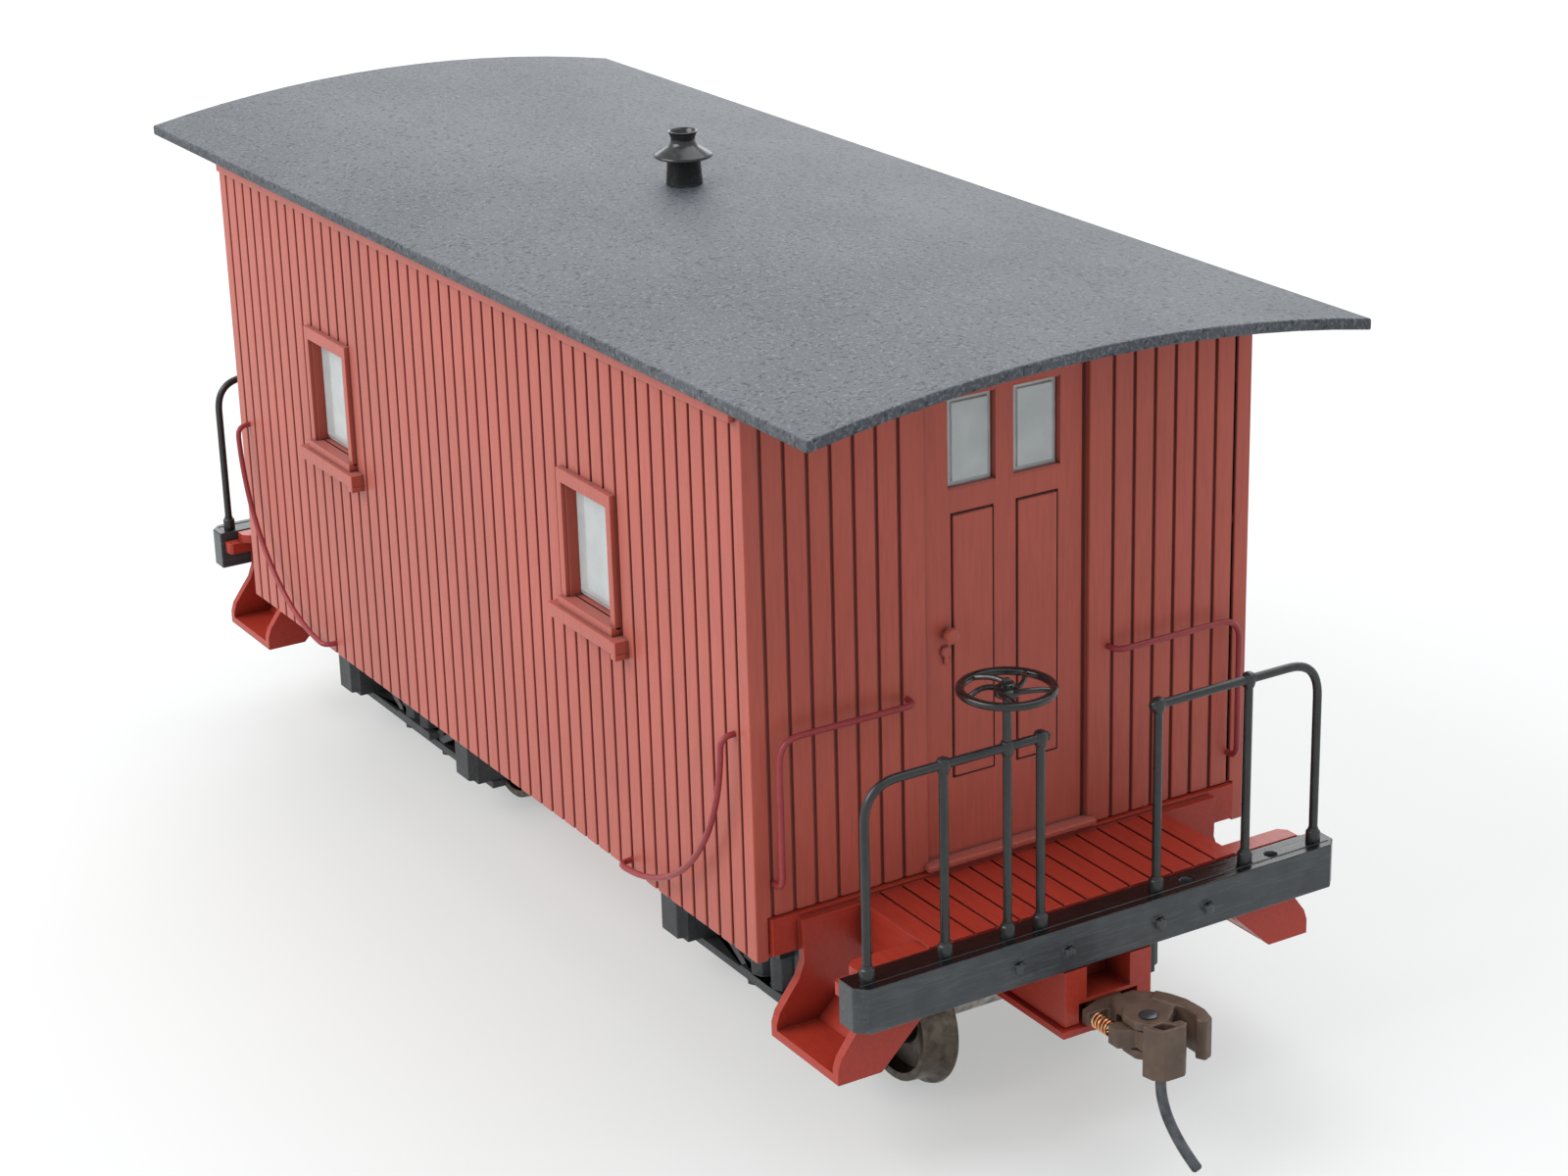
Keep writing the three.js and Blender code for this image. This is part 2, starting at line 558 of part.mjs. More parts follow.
// Hand wheel: rim, hub and five curved spokes, turning on the staff's end.
function brakeWheel() {
  const section = [];
  for (let k = 0; k < 4; k++) {
    const a = (2 * Math.PI * k) / 4;
    section.push([3.45 + 0.34 * Math.cos(a), 0.3 * Math.sin(a)]);
  }
  const rim = turned(section, 18);
  const hub = turned([[0, -0.55], [0.95, -0.55], [0.95, 0.15], [0.7, 0.5], [0, 0.5]], 10);
  const spokes = [];
  for (let i = 0; i < 5; i++) {
    const arc = [];
    for (let k = 0; k <= 3; k++) {
      const t = k / 3;
      const a = 0.75 * Math.sin((Math.PI * t) / 2);
      const r = 0.75 + 2.7 * t;
      const z = 0.25 * Math.sin(Math.PI * (1 - t)) - 0.1 * (1 - t);
      arc.push(new THREE.Vector3(r * Math.cos(a), r * Math.sin(a), z));
    }
    spokes.push(sweep(arc, 0.22, 4).rotate([0, 0, i * 72]));
  }
  return join([rim, hub, ...spokes]).subtract(rod(0.36, -2, 2, 8));
}
bothEnds('brake_wheel', brakeWheel().translate([POST_X, -STAFF_Y, STAFF_TOP - 0.45]), 'black');

// ---------- couplers ----------
const LID_Z = BOX_Z0 - GAP;
const lid = box(BOX_X0, BOX_X1 + 0.4, -BOX_Y - 0.45, BOX_Y + 0.45, LID_Z - 0.6, LID_Z)
  .subtract(rod(0.7, 0, 99, 10).translate([SWING_X, 0, 0]));
bothEnds('draft_gear_lid', lid, 'frame_red');

const lidScrew = rod(0.55, LID_Z - 0.9, COUPLER_Z + 1.7, 10)
  .add(rod(1.2, LID_Z - 1.35, LID_Z - 0.8, 12))
  .subtract(box(-2, 2, -0.17, 0.17, LID_Z - 2, LID_Z - 1.1));
bothEnds('draft_gear_screw', lidScrew.translate([SWING_X, 0, 0]), 'steel');

const EAR_T = 0.7;              // ears of the coupler head above and below the knuckle
const EAR_Z0 = COUPLER_Z - 1.6;
const EAR_Z1 = COUPLER_Z + 1.5;
function couplerBody() {
  const zs = [COUPLER_Z - 0.55, COUPLER_Z + 0.55];
  const ring = rod(2.2, ...zs, 16).translate([SWING_X, 0, 0]);
  const shank = prismZ([[SWING_X, -1.1], [63.4, -1.1], [63.4, 1.1], [SWING_X, 1.1]], ...zs);
  const root = prismZ([
    [61.9, -1.0], [63.2, -1.5], [64.2, -1.5], [64.2, 2.2], [63.0, 2.2], [61.9, 1.0],
  ], EAR_Z0, EAR_Z1);
  const earPlan = [
    [63.9, -1.5], [64.6, -1.9], [66.2, -1.9], [67.1, -1.2],
    [67.2, 0.4], [66.4, 1.4], [65.4, 2.4], [63.9, 2.2],
  ];
  const top = prismZ(earPlan, EAR_Z1 - EAR_T, EAR_Z1);
  const bottom = prismZ(earPlan, EAR_Z0, EAR_Z0 + EAR_T);
  const guard = prismZ([
    [63.9, 1.3], [65.0, 1.7], [66.6, 2.3], [67.9, 2.3], [68.6, 1.8], [69.3, 2.2], [69.0, 3.0], [67.6, 3.4],
    [65.6, 3.3], [64.2, 2.8], [63.2, 2.2],
  ], COUPLER_Z - 1.6, COUPLER_Z + 1.7);
  const nub = alongX(rod(0.3, 0, 0.9, 8)).translate([61.6, -2.35, COUPLER_Z]);
  const bracket = prismZ([
    [60.9, -2.9], [61.7, -2.9], [61.9, -1.0], [61.9, 0], [60.2, 0], [60.2, -1.0],
  ], ...zs);
  const tailRoom = prismZ([
    [63.2, -2], [64.4, -2], [64.4, -0.5], [63.6, -0.5], [63.2, -0.8],
  ], EAR_Z0 + EAR_T, EAR_Z1 - EAR_T);
  let body = join([ring, shank, root, top, bottom, guard, bracket, nub]).subtract(tailRoom);
  body = body.subtract(rod(1.25, 0, 99, 14).translate([SWING_X, 0, 0]));
  body = body.subtract(rod(0.5, 0, 99, 10).translate([KNUCKLE_X, KNUCKLE_Y, 0]));
  return body;
}
bothEnds('coupler_body', couplerBody(), 'coupler_brown');

function knuckle() {
  const z0 = EAR_Z0 + EAR_T + 0.08;
  const z1 = EAR_Z1 - EAR_T - 0.08;
  const hub = rod(1.05, z0, z1, 14).translate([KNUCKLE_X, KNUCKLE_Y, 0]);
  const arm = prismZ([
    [KNUCKLE_X, -1.7], [KNUCKLE_X + 1.7, -1.7], [KNUCKLE_X + 1.7, -0.1], [KNUCKLE_X, 0.2],
  ], z0, z1);
  const tail = prismZ([
    [KNUCKLE_X + 0.3, -1.4], [KNUCKLE_X - 0.6, -2.9], [KNUCKLE_X - 1.75, -2.9], [KNUCKLE_X - 1.75, -2.0],
    [KNUCKLE_X - 0.8, -0.7],
  ], z0, z1);
  const face = prismZ([
    [67.5, -2.3], [68.5, -2.1], [69.2, -1.4], [69.3, 0.3],
    [68.9, 0.75], [68.3, 0.6], [68.2, -0.1], [67.5, -0.3],
  ], COUPLER_Z - 2.3, COUPLER_Z + 1.9);
  const recess = prismZ([[67.95, -1.85], [68.85, -1.35], [68.85, -0.1], [67.95, -0.7]], COUPLER_Z - 0.4, 99);
  const foot = rod(0.85, COUPLER_Z - 2.3, COUPLER_Z - 1.0, 10).translate([68.3, -1.2, 0]);
  let k = join([hub, arm, tail, face, foot]).subtract(recess);
  k = k.subtract(rod(0.5, 0, 99, 10).translate([KNUCKLE_X, KNUCKLE_Y, 0]));
  return k.subtract(rod(0.5, 0, COUPLER_Z - 1.2, 8).translate([68.3, -1.2, 0]));
}
bothEnds('coupler_knuckle', knuckle(), 'coupler_brown');

const rivet = rod(0.44, EAR_Z0 - 0.25, EAR_Z1 + 0.05, 10)
  .add(rod(0.7, EAR_Z1 + 0.04, EAR_Z1 + 0.25, 10, 0.45));
bothEnds('knuckle_rivet', rivet.translate([KNUCKLE_X, KNUCKLE_Y, 0]), 'coupler_brown');

const tripPin = wire([
  [68.3, -1.2, COUPLER_Z - 1.3],
  [68.3, -1.2, COUPLER_Z - 4.2],
  [69.0, -1.0, COUPLER_Z - 6.6],
  [70.6, -0.6, COUPLER_Z - 8.2],
  [71.9, -0.3, COUPLER_Z - 8.7],
], 0.42, 1.3, 8);
bothEnds('trip_pin', tripPin, 'black');

// Helical knuckle spring between the nub on the shank and the knuckle's tail.
function knuckleSpring() {
  const turns = 4.5;
  const n = 36;
  const path = [];
  for (let i = 0; i <= n; i++) {
    const t = i / n;
    const a = 2 * Math.PI * turns * t;
    const x = 61.95 + 1.95 * t;
    path.push(new THREE.Vector3(x, -2.35 + 0.52 * Math.cos(a), COUPLER_Z + 0.52 * Math.sin(a)));
  }
  return sweep(path, 0.11, 4);
}
bothEnds('knuckle_spring', knuckleSpring(), 'copper');

// ---------- trucks ----------
function journal(s) {
  const x = s * AXLE_X;
  const boxBody = box(x - 1.85, x + 1.85, 11.35, 14.4, AXLE_Z - 2.0, AXLE_Z + 2.1);
  const coverPlan = [[x - 1.6, 14.3], [x + 1.6, 14.3], [x + 1.3, 15.1], [x - 1.3, 15.1]];
  const cover = prismZ(coverPlan, AXLE_Z - 1.7, AXLE_Z + 1.8);
  const bolt = rod(0.5, AXLE_Z + 2.0, AXLE_Z + 3.5, 6);
  const bolts = bolt.translate([x - 1.2, 12.3, 0]).add(bolt.translate([x + 1.2, 12.3, 0]));
  return join([boxBody, cover, bolts]);
}

function sideFrame() {
  const y = [11.6, 13.0];
  const bar = (pts, t) => {
    const up = pts.map(([x, z]) => [x, z + t]).reverse();
    return prismY([...pts, ...up], ...y);
  };
  const top = bar([[-15, 7.75], [-11.3, 7.75], [-4.8, 10.7], [4.8, 10.7], [11.3, 7.75], [15, 7.75]], 0.9);
  const low = bar([[-13, 6.9], [-10.4, 6.9], [-4.8, 3.9], [4.8, 3.9], [10.4, 6.9], [13, 6.9]], 0.8);
  const tie = bar([[-15, 2.9], [15, 2.9]], 0.75);
  const parts = [top, low, tie, journal(-1), journal(1)];
  for (const x of [-4.0, 4.0]) {
    parts.push(box(x - 0.55, x + 0.55, 11.7, 12.9, 3.2, 11.2));
    parts.push(rod(0.6, 11.5, 12.1, 6).translate([x, 12.3, 0]));
    parts.push(rod(0.6, 2.4, 3.0, 6).translate([x, 12.3, 0]));
  }
  for (const x of [-1.55, 1.55]) {
    parts.push(rod(1.25, 4.6, 8.2, 8).translate([x, 12.6, 0]));
  }
  parts.push(box(-3.5, 3.5, 11.5, 13.9, 3.9, 4.7));
  parts.push(box(-3.4, 3.4, 11.5, 14.2, 8.1, 10.2));
  return join(parts);
}

function truckFrame() {
  const bolster = prismX([
    [-12.6, 8.2], [-9.5, 8.6], [-6.5, 10.9], [6.5, 10.9], [9.5, 8.6], [12.6, 8.2],
    [12.6, 10.2], [8.5, 11.8], [6.0, BOLSTER_TOP], [-6.0, BOLSTER_TOP], [-8.5, 11.8], [-12.6, 10.2],
  ], -2.5, 2.5);
  const plank = box(-2.0, 2.0, -12, 12, 3.9, 4.7);
  const bearing = alongY(rod(0.62, 11.0, 13.6, 10)).translate([0, 0, AXLE_Z]);
  let frame = join([bolster, plank, sideFrame(), mirrorY(sideFrame())]);
  for (const x of [-AXLE_X, AXLE_X]) {
    frame = frame.subtract(bearing.translate([x, 0, 0]));
    frame = frame.subtract(mirrorY(bearing).translate([x, 0, 0]));
  }
  return frame.subtract(rod(1.35, 10, 20, 14));
}
bothEnds('truck_frame', truckFrame().translate([TRUCK_X, 0, 0]), 'black');

const truckScrew = rod(1.05, 10.4, ZB + 4.1, 12).add(rod(2.2, 9.5, 10.75, 16))
  .subtract(box(-3, 3, -0.3, 0.3, 9, 10.0));
bothEnds('truck_screw', truckScrew.translate([TRUCK_X, 0, 0]), 'steel');

// Wheel about Y, its inner face at y = BACK_Y.
function wheel() {
  const profile = [
    [1.05, 0], [FLANGE_R - 0.25, 0], [FLANGE_R, 0.35], [TREAD_R + 0.1, 0.95], [TREAD_R - 0.1, 2.8],
    [4.25, 2.8], [4.0, 1.5], [2.1, 1.5], [1.8, 2.8], [1.05, 2.8],
  ];
  const m = turned(profile, WHEEL_SEG).rotate([0, 0, 180 / WHEEL_SEG]);
  return alongY(m).translate([0, BACK_Y, AXLE_Z]);
}

function axle() {
  return alongY(turned([
    [0, -12.9], [0.55, -12.5], [0.55, -11.1], [1.0, -10.7], [1.0, 10.7], [0.55, 11.1],
    [0.55, 12.5], [0, 12.9],
  ], 10)).translate([0, 0, AXLE_Z]);
}

const stations = { outer: AXLE_X, inner: -AXLE_X };
for (const [place, x] of Object.entries(stations)) {
  const at = [TRUCK_X + x, 0, 0];
  bothEnds(`axle_${place}`, axle().translate(at), 'steel');
  bothEnds(`wheel_${place}_left`, wheel().translate(at), 'wheel');
  bothEnds(`wheel_${place}_right`, mirrorY(wheel()).translate(at), 'wheel');
}

export default caboose;
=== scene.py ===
"""Looks of the model caboose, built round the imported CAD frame.

Shapes are made in millimetres in the frame's own axes and turned into metres when they are placed.
The rear end repeats the front end, turned half a turn about Z.
"""
import json
import math

import bmesh
import bpy
from mathutils import Matrix, Vector


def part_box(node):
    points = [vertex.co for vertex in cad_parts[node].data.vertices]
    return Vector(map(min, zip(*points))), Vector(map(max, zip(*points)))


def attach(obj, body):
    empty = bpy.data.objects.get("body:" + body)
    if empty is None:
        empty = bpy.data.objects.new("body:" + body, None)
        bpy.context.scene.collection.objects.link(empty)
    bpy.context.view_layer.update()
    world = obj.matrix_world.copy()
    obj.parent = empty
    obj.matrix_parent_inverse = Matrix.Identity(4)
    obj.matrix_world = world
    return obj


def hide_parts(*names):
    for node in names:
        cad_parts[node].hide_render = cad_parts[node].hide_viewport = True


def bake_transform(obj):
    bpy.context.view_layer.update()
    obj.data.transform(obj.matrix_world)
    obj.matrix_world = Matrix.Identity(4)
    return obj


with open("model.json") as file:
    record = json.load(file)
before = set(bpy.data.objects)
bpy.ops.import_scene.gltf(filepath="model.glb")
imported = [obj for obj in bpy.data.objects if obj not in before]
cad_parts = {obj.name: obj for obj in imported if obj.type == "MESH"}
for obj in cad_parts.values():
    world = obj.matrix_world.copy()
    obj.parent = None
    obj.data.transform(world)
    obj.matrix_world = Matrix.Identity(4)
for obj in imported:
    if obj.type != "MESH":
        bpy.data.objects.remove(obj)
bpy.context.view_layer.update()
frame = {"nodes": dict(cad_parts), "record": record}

MM = 0.001
FULL_TURN = 2 * math.pi
ENDS = {"front": Matrix.Identity(4), "rear": Matrix.Rotation(math.pi, 4, "Z")}
BODIES = frame["record"]["behaviour"]["bodies"]
BODY_OF = {node: body for body, nodes in BODIES.items() for node in nodes}


# ---------- measures read from the frame ----------
def box_mm(node):
    low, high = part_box(node)
    return low / MM, high / MM


def middle_mm(node):
    low, high = box_mm(node)
    return (low + high) / 2


# ---------- materials ----------
MIX_FACTOR, MIX_FIRST, MIX_SECOND, MIX_RESULT = 0, 6, 7, 2      # the sockets of a colour mix
PAINT_GRAIN = 0.015             # height of the grain in the red paint
METAL_PATCHES = 1.2             # tarnished patches to the millimetre
METAL_TOOTH = 0.01


class Graph:
    """A material's node tree with millimetre coordinates on its object."""

    def __init__(self, name):
        self.material = bpy.data.materials.new(name)
        self.material.use_nodes = True
        self.tree = self.material.node_tree
        self.shader = self.tree.nodes["Principled BSDF"]
        self.coords = self.node("ShaderNodeTexCoord").outputs["Object"]

    def node(self, kind, inputs=None, **settings):
        n = self.tree.nodes.new(kind)
        for key, value in settings.items():
            setattr(n, key, value)
        for key, value in (inputs or {}).items():
            if isinstance(value, bpy.types.NodeSocket):
                self.tree.links.new(value, n.inputs[key])
            else:
                n.inputs[key].default_value = value
        return n

    def link(self, output, socket):
        self.tree.links.new(output, self.shader.inputs[socket])

    def noise(self, scale, detail=3, rough=0.5, distortion=0.0):
        """Noise with scale (x, y, z) features to the millimetre."""
        mapping = {"Vector": self.coords, "Scale": [s / MM for s in scale]}
        vector = self.node("ShaderNodeMapping", mapping).outputs["Vector"]
        inputs = {"Vector": vector, "Scale": 1.0, "Detail": detail, "Roughness": rough,
                  "Distortion": distortion}
        return self.node("ShaderNodeTexNoise", inputs).outputs["Fac"]

    def band(self, value, low, high, to_low=0.0, to_high=1.0):
        """Maps low..high to to_low..to_high, clamped."""
        inputs = {0: value, 1: low, 2: high, 3: to_low, 4: to_high}
        return self.node("ShaderNodeMapRange", inputs).outputs[0]

    def sum(self, a, b):
        return self.node("ShaderNodeMath", {0: a, 1: b}, operation="ADD").outputs[0]

    def times(self, a, b):
        return self.node("ShaderNodeMath", {0: a, 1: b}, operation="MULTIPLY").outputs[0]

    def mix(self, factor, first, second):
        """Mixes two colours, each a socket or three numbers."""
        inputs = {MIX_FACTOR: factor}
        for key, colour in ((MIX_FIRST, first), (MIX_SECOND, second)):
            inputs[key] = colour if isinstance(colour, bpy.types.NodeSocket) else (*colour, 1)
        return self.node("ShaderNodeMix", inputs, data_type="RGBA").outputs[MIX_RESULT]

    def crevice_shade(self, distance):
        """Near 0 deep inside grooves and corners, 1 on open faces: the mask for painted shade
        there.
        """
        inputs = {"Distance": distance * MM}
        kind = "ShaderNodeAmbientOcclusion"
        return self.node(kind, inputs, samples=6, only_local=True).outputs["AO"]

    def bump(self, height, distance):
        inputs = {"Height": height, "Distance": distance * MM, "Strength": 1.0}
        return self.node("ShaderNodeBump", inputs).outputs["Normal"]

    def base(self, rough, metal=0.0, specular=0.5, sheen=0.0):
        s = self.shader.inputs
        s["Roughness"].default_value = rough
        s["Metallic"].default_value = metal
        s["Specular IOR Level"].default_value = specular
        s["Sheen Weight"].default_value = sheen


def painted(name, colour, dark, rough, grain=(3.0, 3.0, 0.25), groove=0.5, sheen=0.0):
    """Red paint or plastic: cloudy tone, faint grain, dust-fine tooth, and painted shade that
    darkens the grooves and corners.
    """
    g = Graph(name)
    g.base(rough, specular=0.3, sheen=sheen)
    clouds = g.noise((0.07, 0.07, 0.05), detail=4)
    streaks = g.noise(grain, detail=5, rough=0.6, distortion=0.3)
    tooth = g.noise((9, 9, 9), detail=2)
    tone = g.mix(g.band(clouds, 0.35, 0.68), colour, [c * 0.86 for c in colour])
    tone = g.mix(g.band(streaks, 0.42, 0.72, 0.0, 0.22), tone, dark)
    # painted shade: grooves, corners and recesses are pulled towards the dark colour
    unshaded = g.band(g.crevice_shade(groove), 0.25, 0.9)
    g.link(g.mix(unshaded, dark, tone), "Base Color")
    g.link(g.band(tooth, 0.3, 0.7, rough - 0.06, rough + 0.08), "Roughness")
    height = g.sum(g.times(streaks, 0.8), g.times(tooth, 0.35))
    g.link(g.bump(height, PAINT_GRAIN), "Normal")
    return g.material


def roof_paint():
    """Matt blue-black paint with a fine pale grain and specks of dark grit."""
    g = Graph("roof_paint")
    g.base(0.56, specular=0.45)
    fine = g.noise((3.2, 3.2, 3.2), detail=5, rough=0.65)
    grit = g.band(g.noise((2.1, 2.1, 2.1), detail=2), 0.58, 0.66)
    clouds = g.noise((0.05, 0.06, 0.05), detail=4)
    tone = g.mix(g.band(clouds, 0.35, 0.65), (0.029, 0.035, 0.045), (0.052, 0.06, 0.073))
    tone = g.mix(g.band(fine, 0.5, 0.68, 0.0, 0.9), tone, (0.15, 0.157, 0.168))
    tone = g.mix(g.band(grit, 0.2, 0.9, 0.0, 0.75), tone, (0.004, 0.005, 0.006))
    g.link(tone, "Base Color")
    g.link(g.band(fine, 0.3, 0.7, 0.48, 0.68), "Roughness")
    g.link(g.bump(g.sum(fine, g.times(grit, -0.5)), 0.09), "Normal")
    return g.material


def black_plastic(name, rough, grain, depth, colour, worn, specular=0.5, facing_shade=False):
    """Moulded black plastic with a direction of grain and a little grey where it is handled.

    With the top shading on, faces that look up keep the plain colour and the others are made
    greyer: painted shade on the tops, painted light on the sides.
    """
    g = Graph(name)
    g.base(rough, specular=specular)
    # painted light and shade by facing: upward faces stay dark, the others are lifted towards grey
    if facing_shade:
        facing = g.node("ShaderNodeTexCoord").outputs["Normal"]
        up = g.band(g.node("ShaderNodeSeparateXYZ", {0: facing}).outputs["Z"], 0.4, 0.8)
        sides = [c * 0.45 for c in worn]
        colour, worn = g.mix(up, sides, colour), g.mix(up, worn, colour)
    lines = g.noise(grain, detail=6, rough=0.62, distortion=0.5)
    soft = g.noise((0.5, 0.5, 0.5), detail=3)
    tone = g.mix(g.band(lines, 0.5, 0.74, 0.0, 0.6), colour, worn)
    g.link(g.mix(g.band(soft, 0.4, 0.7, 0.0, 0.3), tone, worn), "Base Color")
    g.link(g.band(lines, 0.3, 0.7, rough - 0.08, rough + 0.12), "Roughness")
    g.link(g.bump(lines, depth), "Normal")
    return g.material


def metal(name, colour, tarnish, rough, metallic=1.0):
    g = Graph(name)
    g.base(rough, metal=metallic)
    patches = g.noise((METAL_PATCHES, METAL_PATCHES, METAL_PATCHES), detail=4)
    fine = g.noise((12, 12, 12), detail=2)
    g.link(g.mix(g.band(patches, 0.35, 0.7), colour, tarnish), "Base Color")
    g.link(g.band(patches, 0.3, 0.7, rough - 0.05, rough + 0.12), "Roughness")
    g.link(g.bump(fine, METAL_TOOTH), "Normal")
    return g.material


def moulded_brown():
    g = Graph("coupler_brown")
    g.base(0.42, specular=0.38)
    patches = g.noise((0.8, 0.8, 0.8), detail=4)
    fine = g.noise((7, 7, 7), detail=3)
    tone = g.mix(g.band(patches, 0.35, 0.7), (0.105, 0.066, 0.047), (0.072, 0.045, 0.031))
    # painted shade: corners and hollows of the casting are darkened
    unshaded = g.band(g.crevice_shade(0.8), 0.2, 0.8)
    g.link(g.mix(unshaded, (0.03, 0.014, 0.01), tone), "Base Color")
    g.link(g.band(fine, 0.3, 0.7, 0.36, 0.5), "Roughness")
    g.link(g.bump(fine, 0.012), "Normal")
    return g.material


def clear_moulding():
    """Slightly hazy clear polystyrene."""
    g = Graph("clear_moulding")
    g.base(0.08, specular=0.6)
    haze = g.noise((0.4, 0.4, 0.4), detail=3)
    g.shader.inputs["IOR"].default_value = 1.5
    g.shader.inputs["Transmission Weight"].default_value = 0.55
    g.link(g.mix(g.band(haze, 0.35, 0.7), (0.68, 0.72, 0.73), (0.8, 0.83, 0.83)), "Base Color")
    g.link(g.band(haze, 0.3, 0.7, 0.04, 0.12), "Roughness")
    return g.material


BODY_RED = painted("body_red_paint", (0.395, 0.07, 0.044), (0.1, 0.019, 0.014), 0.42, sheen=0.18)
# groove is how far the painted shade in corners reaches; the deck's is wide, to darken the insides
# of the steps as painted shade
DECK_RED = painted("frame_red_plastic", (0.36, 0.035, 0.02), (0.06, 0.007, 0.004), 0.34,
                   grain=(0.3, 3.0, 3.0), groove=2.2)
WIRE_RED = painted("wire_red_paint", (0.27, 0.035, 0.04), (0.06, 0.008, 0.01), 0.32,
                   grain=(1, 1, 1), groove=0.2)
ROOF = roof_paint()
BEAM_BLACK = black_plastic("beam_black", 0.2, (3.5, 0.22, 3.5), 0.04, (0.004, 0.004, 0.004),
                           (0.085, 0.092, 0.1), specular=0.3, facing_shade=True)
RAIL_BLACK = black_plastic("rail_black", 0.32, (1.5, 1.5, 1.5), 0.012, (0.008, 0.009, 0.0095),
                           (0.028, 0.031, 0.031))
TRUCK_BLACK = black_plastic("truck_black", 0.45, (1.2, 2.5, 2.5), 0.03, (0.016, 0.018, 0.02),
                            (0.06, 0.065, 0.07))
GLOSS_BLACK = black_plastic("gloss_black", 0.2, (2, 2, 2), 0.012, (0.006, 0.006, 0.006),
                            (0.022, 0.021, 0.02))
PIN_BLACK = metal("pin_black", (0.1, 0.105, 0.112), (0.04, 0.044, 0.05), 0.3, metallic=0.7)
STEEL = metal("steel", (0.5, 0.48, 0.45), (0.32, 0.3, 0.28), 0.32)
AXLE_STEEL = metal("axle_steel", (0.42, 0.4, 0.37), (0.2, 0.18, 0.16), 0.4)
WHEEL_METAL = metal("wheel_metal", (0.12, 0.1, 0.08), (0.065, 0.053, 0.043), 0.34)
COPPER = metal("copper", (0.86, 0.44, 0.22), (0.62, 0.27, 0.12), 0.24)
BROWN = moulded_brown()
CLEAR = clear_moulding()


# ---------- making and placing meshes ----------
LEVEL = math.radians(0.5)       # faces this close to one plane become one face
HARD_EDGE = math.radians(25)    # edges sharper than this are eased
CASTING_GRID = 0.09             # a casting is remade on a grid this fine
CASTING_MELTS = 5               # and smoothed this often
ON_AXIS = 1e-6                  # a turned outline's point this near the axis is a single vertex


def new_object(name, bm):
    bmesh.ops.recalc_face_normals(bm, faces=bm.faces)
    mesh = bpy.data.meshes.new(name)
    bm.to_mesh(mesh)
    bm.free()
    obj = bpy.data.objects.new(name, mesh)
    bpy.context.scene.collection.objects.link(obj)
    return obj


def place(obj, material, slot, *nodes, smooth=32, stretch=None):
    """Turns a millimetre mesh into a piece that stands for its CAD nodes and rides with their body
    unless stretch is given.

    stretch=(body, start, end), when given, leaves the piece on no body with its placing baked in;
    the body and points in it are not read.
    """
    mesh = obj.data
    mesh.transform(Matrix.Scale(MM, 4))
    mesh.materials.clear()
    mesh.materials.append(material)
    mesh.shade_smooth()
    mesh.set_sharp_from_angle(angle=math.radians(smooth))
    obj.modifiers.new("even_faces", "WEIGHTED_NORMAL").keep_sharp = True
    if stretch:
        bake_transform(obj)
    else:
        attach(obj, BODY_OF[nodes[0]])
    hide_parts(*nodes)


def piece(bm, material, slot, node, **settings):
    """Places a finished mesh as the piece for one CAD node."""
    place(new_object(node + "_fine", bm), material, slot, node, **settings)


def cad_mesh(node):
    bm = bmesh.new()
    bm.from_mesh(frame["nodes"][node].data)
    bm.transform(Matrix.Scale(1 / MM, 4))
    return bm


def merged(bm, part):
    """Adds the part's mesh to bm and frees the part."""
    mesh = bpy.data.meshes.new("part")
    part.to_mesh(mesh)
    part.free()
    bm.from_mesh(mesh)
    bpy.data.meshes.remove(mesh)


def bevelled(bm, edges, width, segments, **settings):
    bmesh.ops.bevel(bm, geom=edges, offset=width, offset_type="OFFSET", segments=segments,
                    profile=0.5, affect="EDGES", **settings)


def skin(bm, loops):
    """Joins each closed loop of vertices to the next one with a band of faces."""
    for a, b in zip(loops, loops[1:]):
        for k in range(len(a)):
            n = (k + 1) % len(a)
            bm.faces.new((a[k], a[n], b[n], b[k]))


def eased(node, material, slot, edge=0.08, segments=2, weld=0.002, extra=None):
    """The CAD node's own shape with its hard edges eased, as a moulding has them, and any extra
    detail."""
    bm = cad_mesh(node)
    bmesh.ops.remove_doubles(bm, verts=bm.verts, dist=weld)
    bmesh.ops.dissolve_limit(bm, angle_limit=LEVEL, verts=bm.verts, edges=bm.edges)
    hard = [e for e in bm.edges if len(e.link_faces) == 2 and e.calc_face_angle(0) > HARD_EDGE]
    bevelled(bm, hard, edge, segments, clamp_overlap=False, miter_outer="SHARP")
    if extra:
        merged(bm, extra)
    piece(bm, material, slot, node)


def softened(node, material, slot):
    """The CAD node's shape as a small casting: its edges and inside corners melted round."""
    obj = new_object(node + "_fine", cad_mesh(node))
    grid = obj.modifiers.new("even_grid", "REMESH")
    grid.mode, grid.voxel_size = "VOXEL", CASTING_GRID
    melt = obj.modifiers.new("melt", "SMOOTH")
    melt.factor, melt.iterations = 0.5, CASTING_MELTS
    bpy.context.view_layer.update()
    melted = obj.evaluated_get(bpy.context.evaluated_depsgraph_get())
    shaped = bpy.data.meshes.new_from_object(melted)
    obj.modifiers.clear()
    obj.data = shaped
    place(obj, material, slot, node, smooth=60)


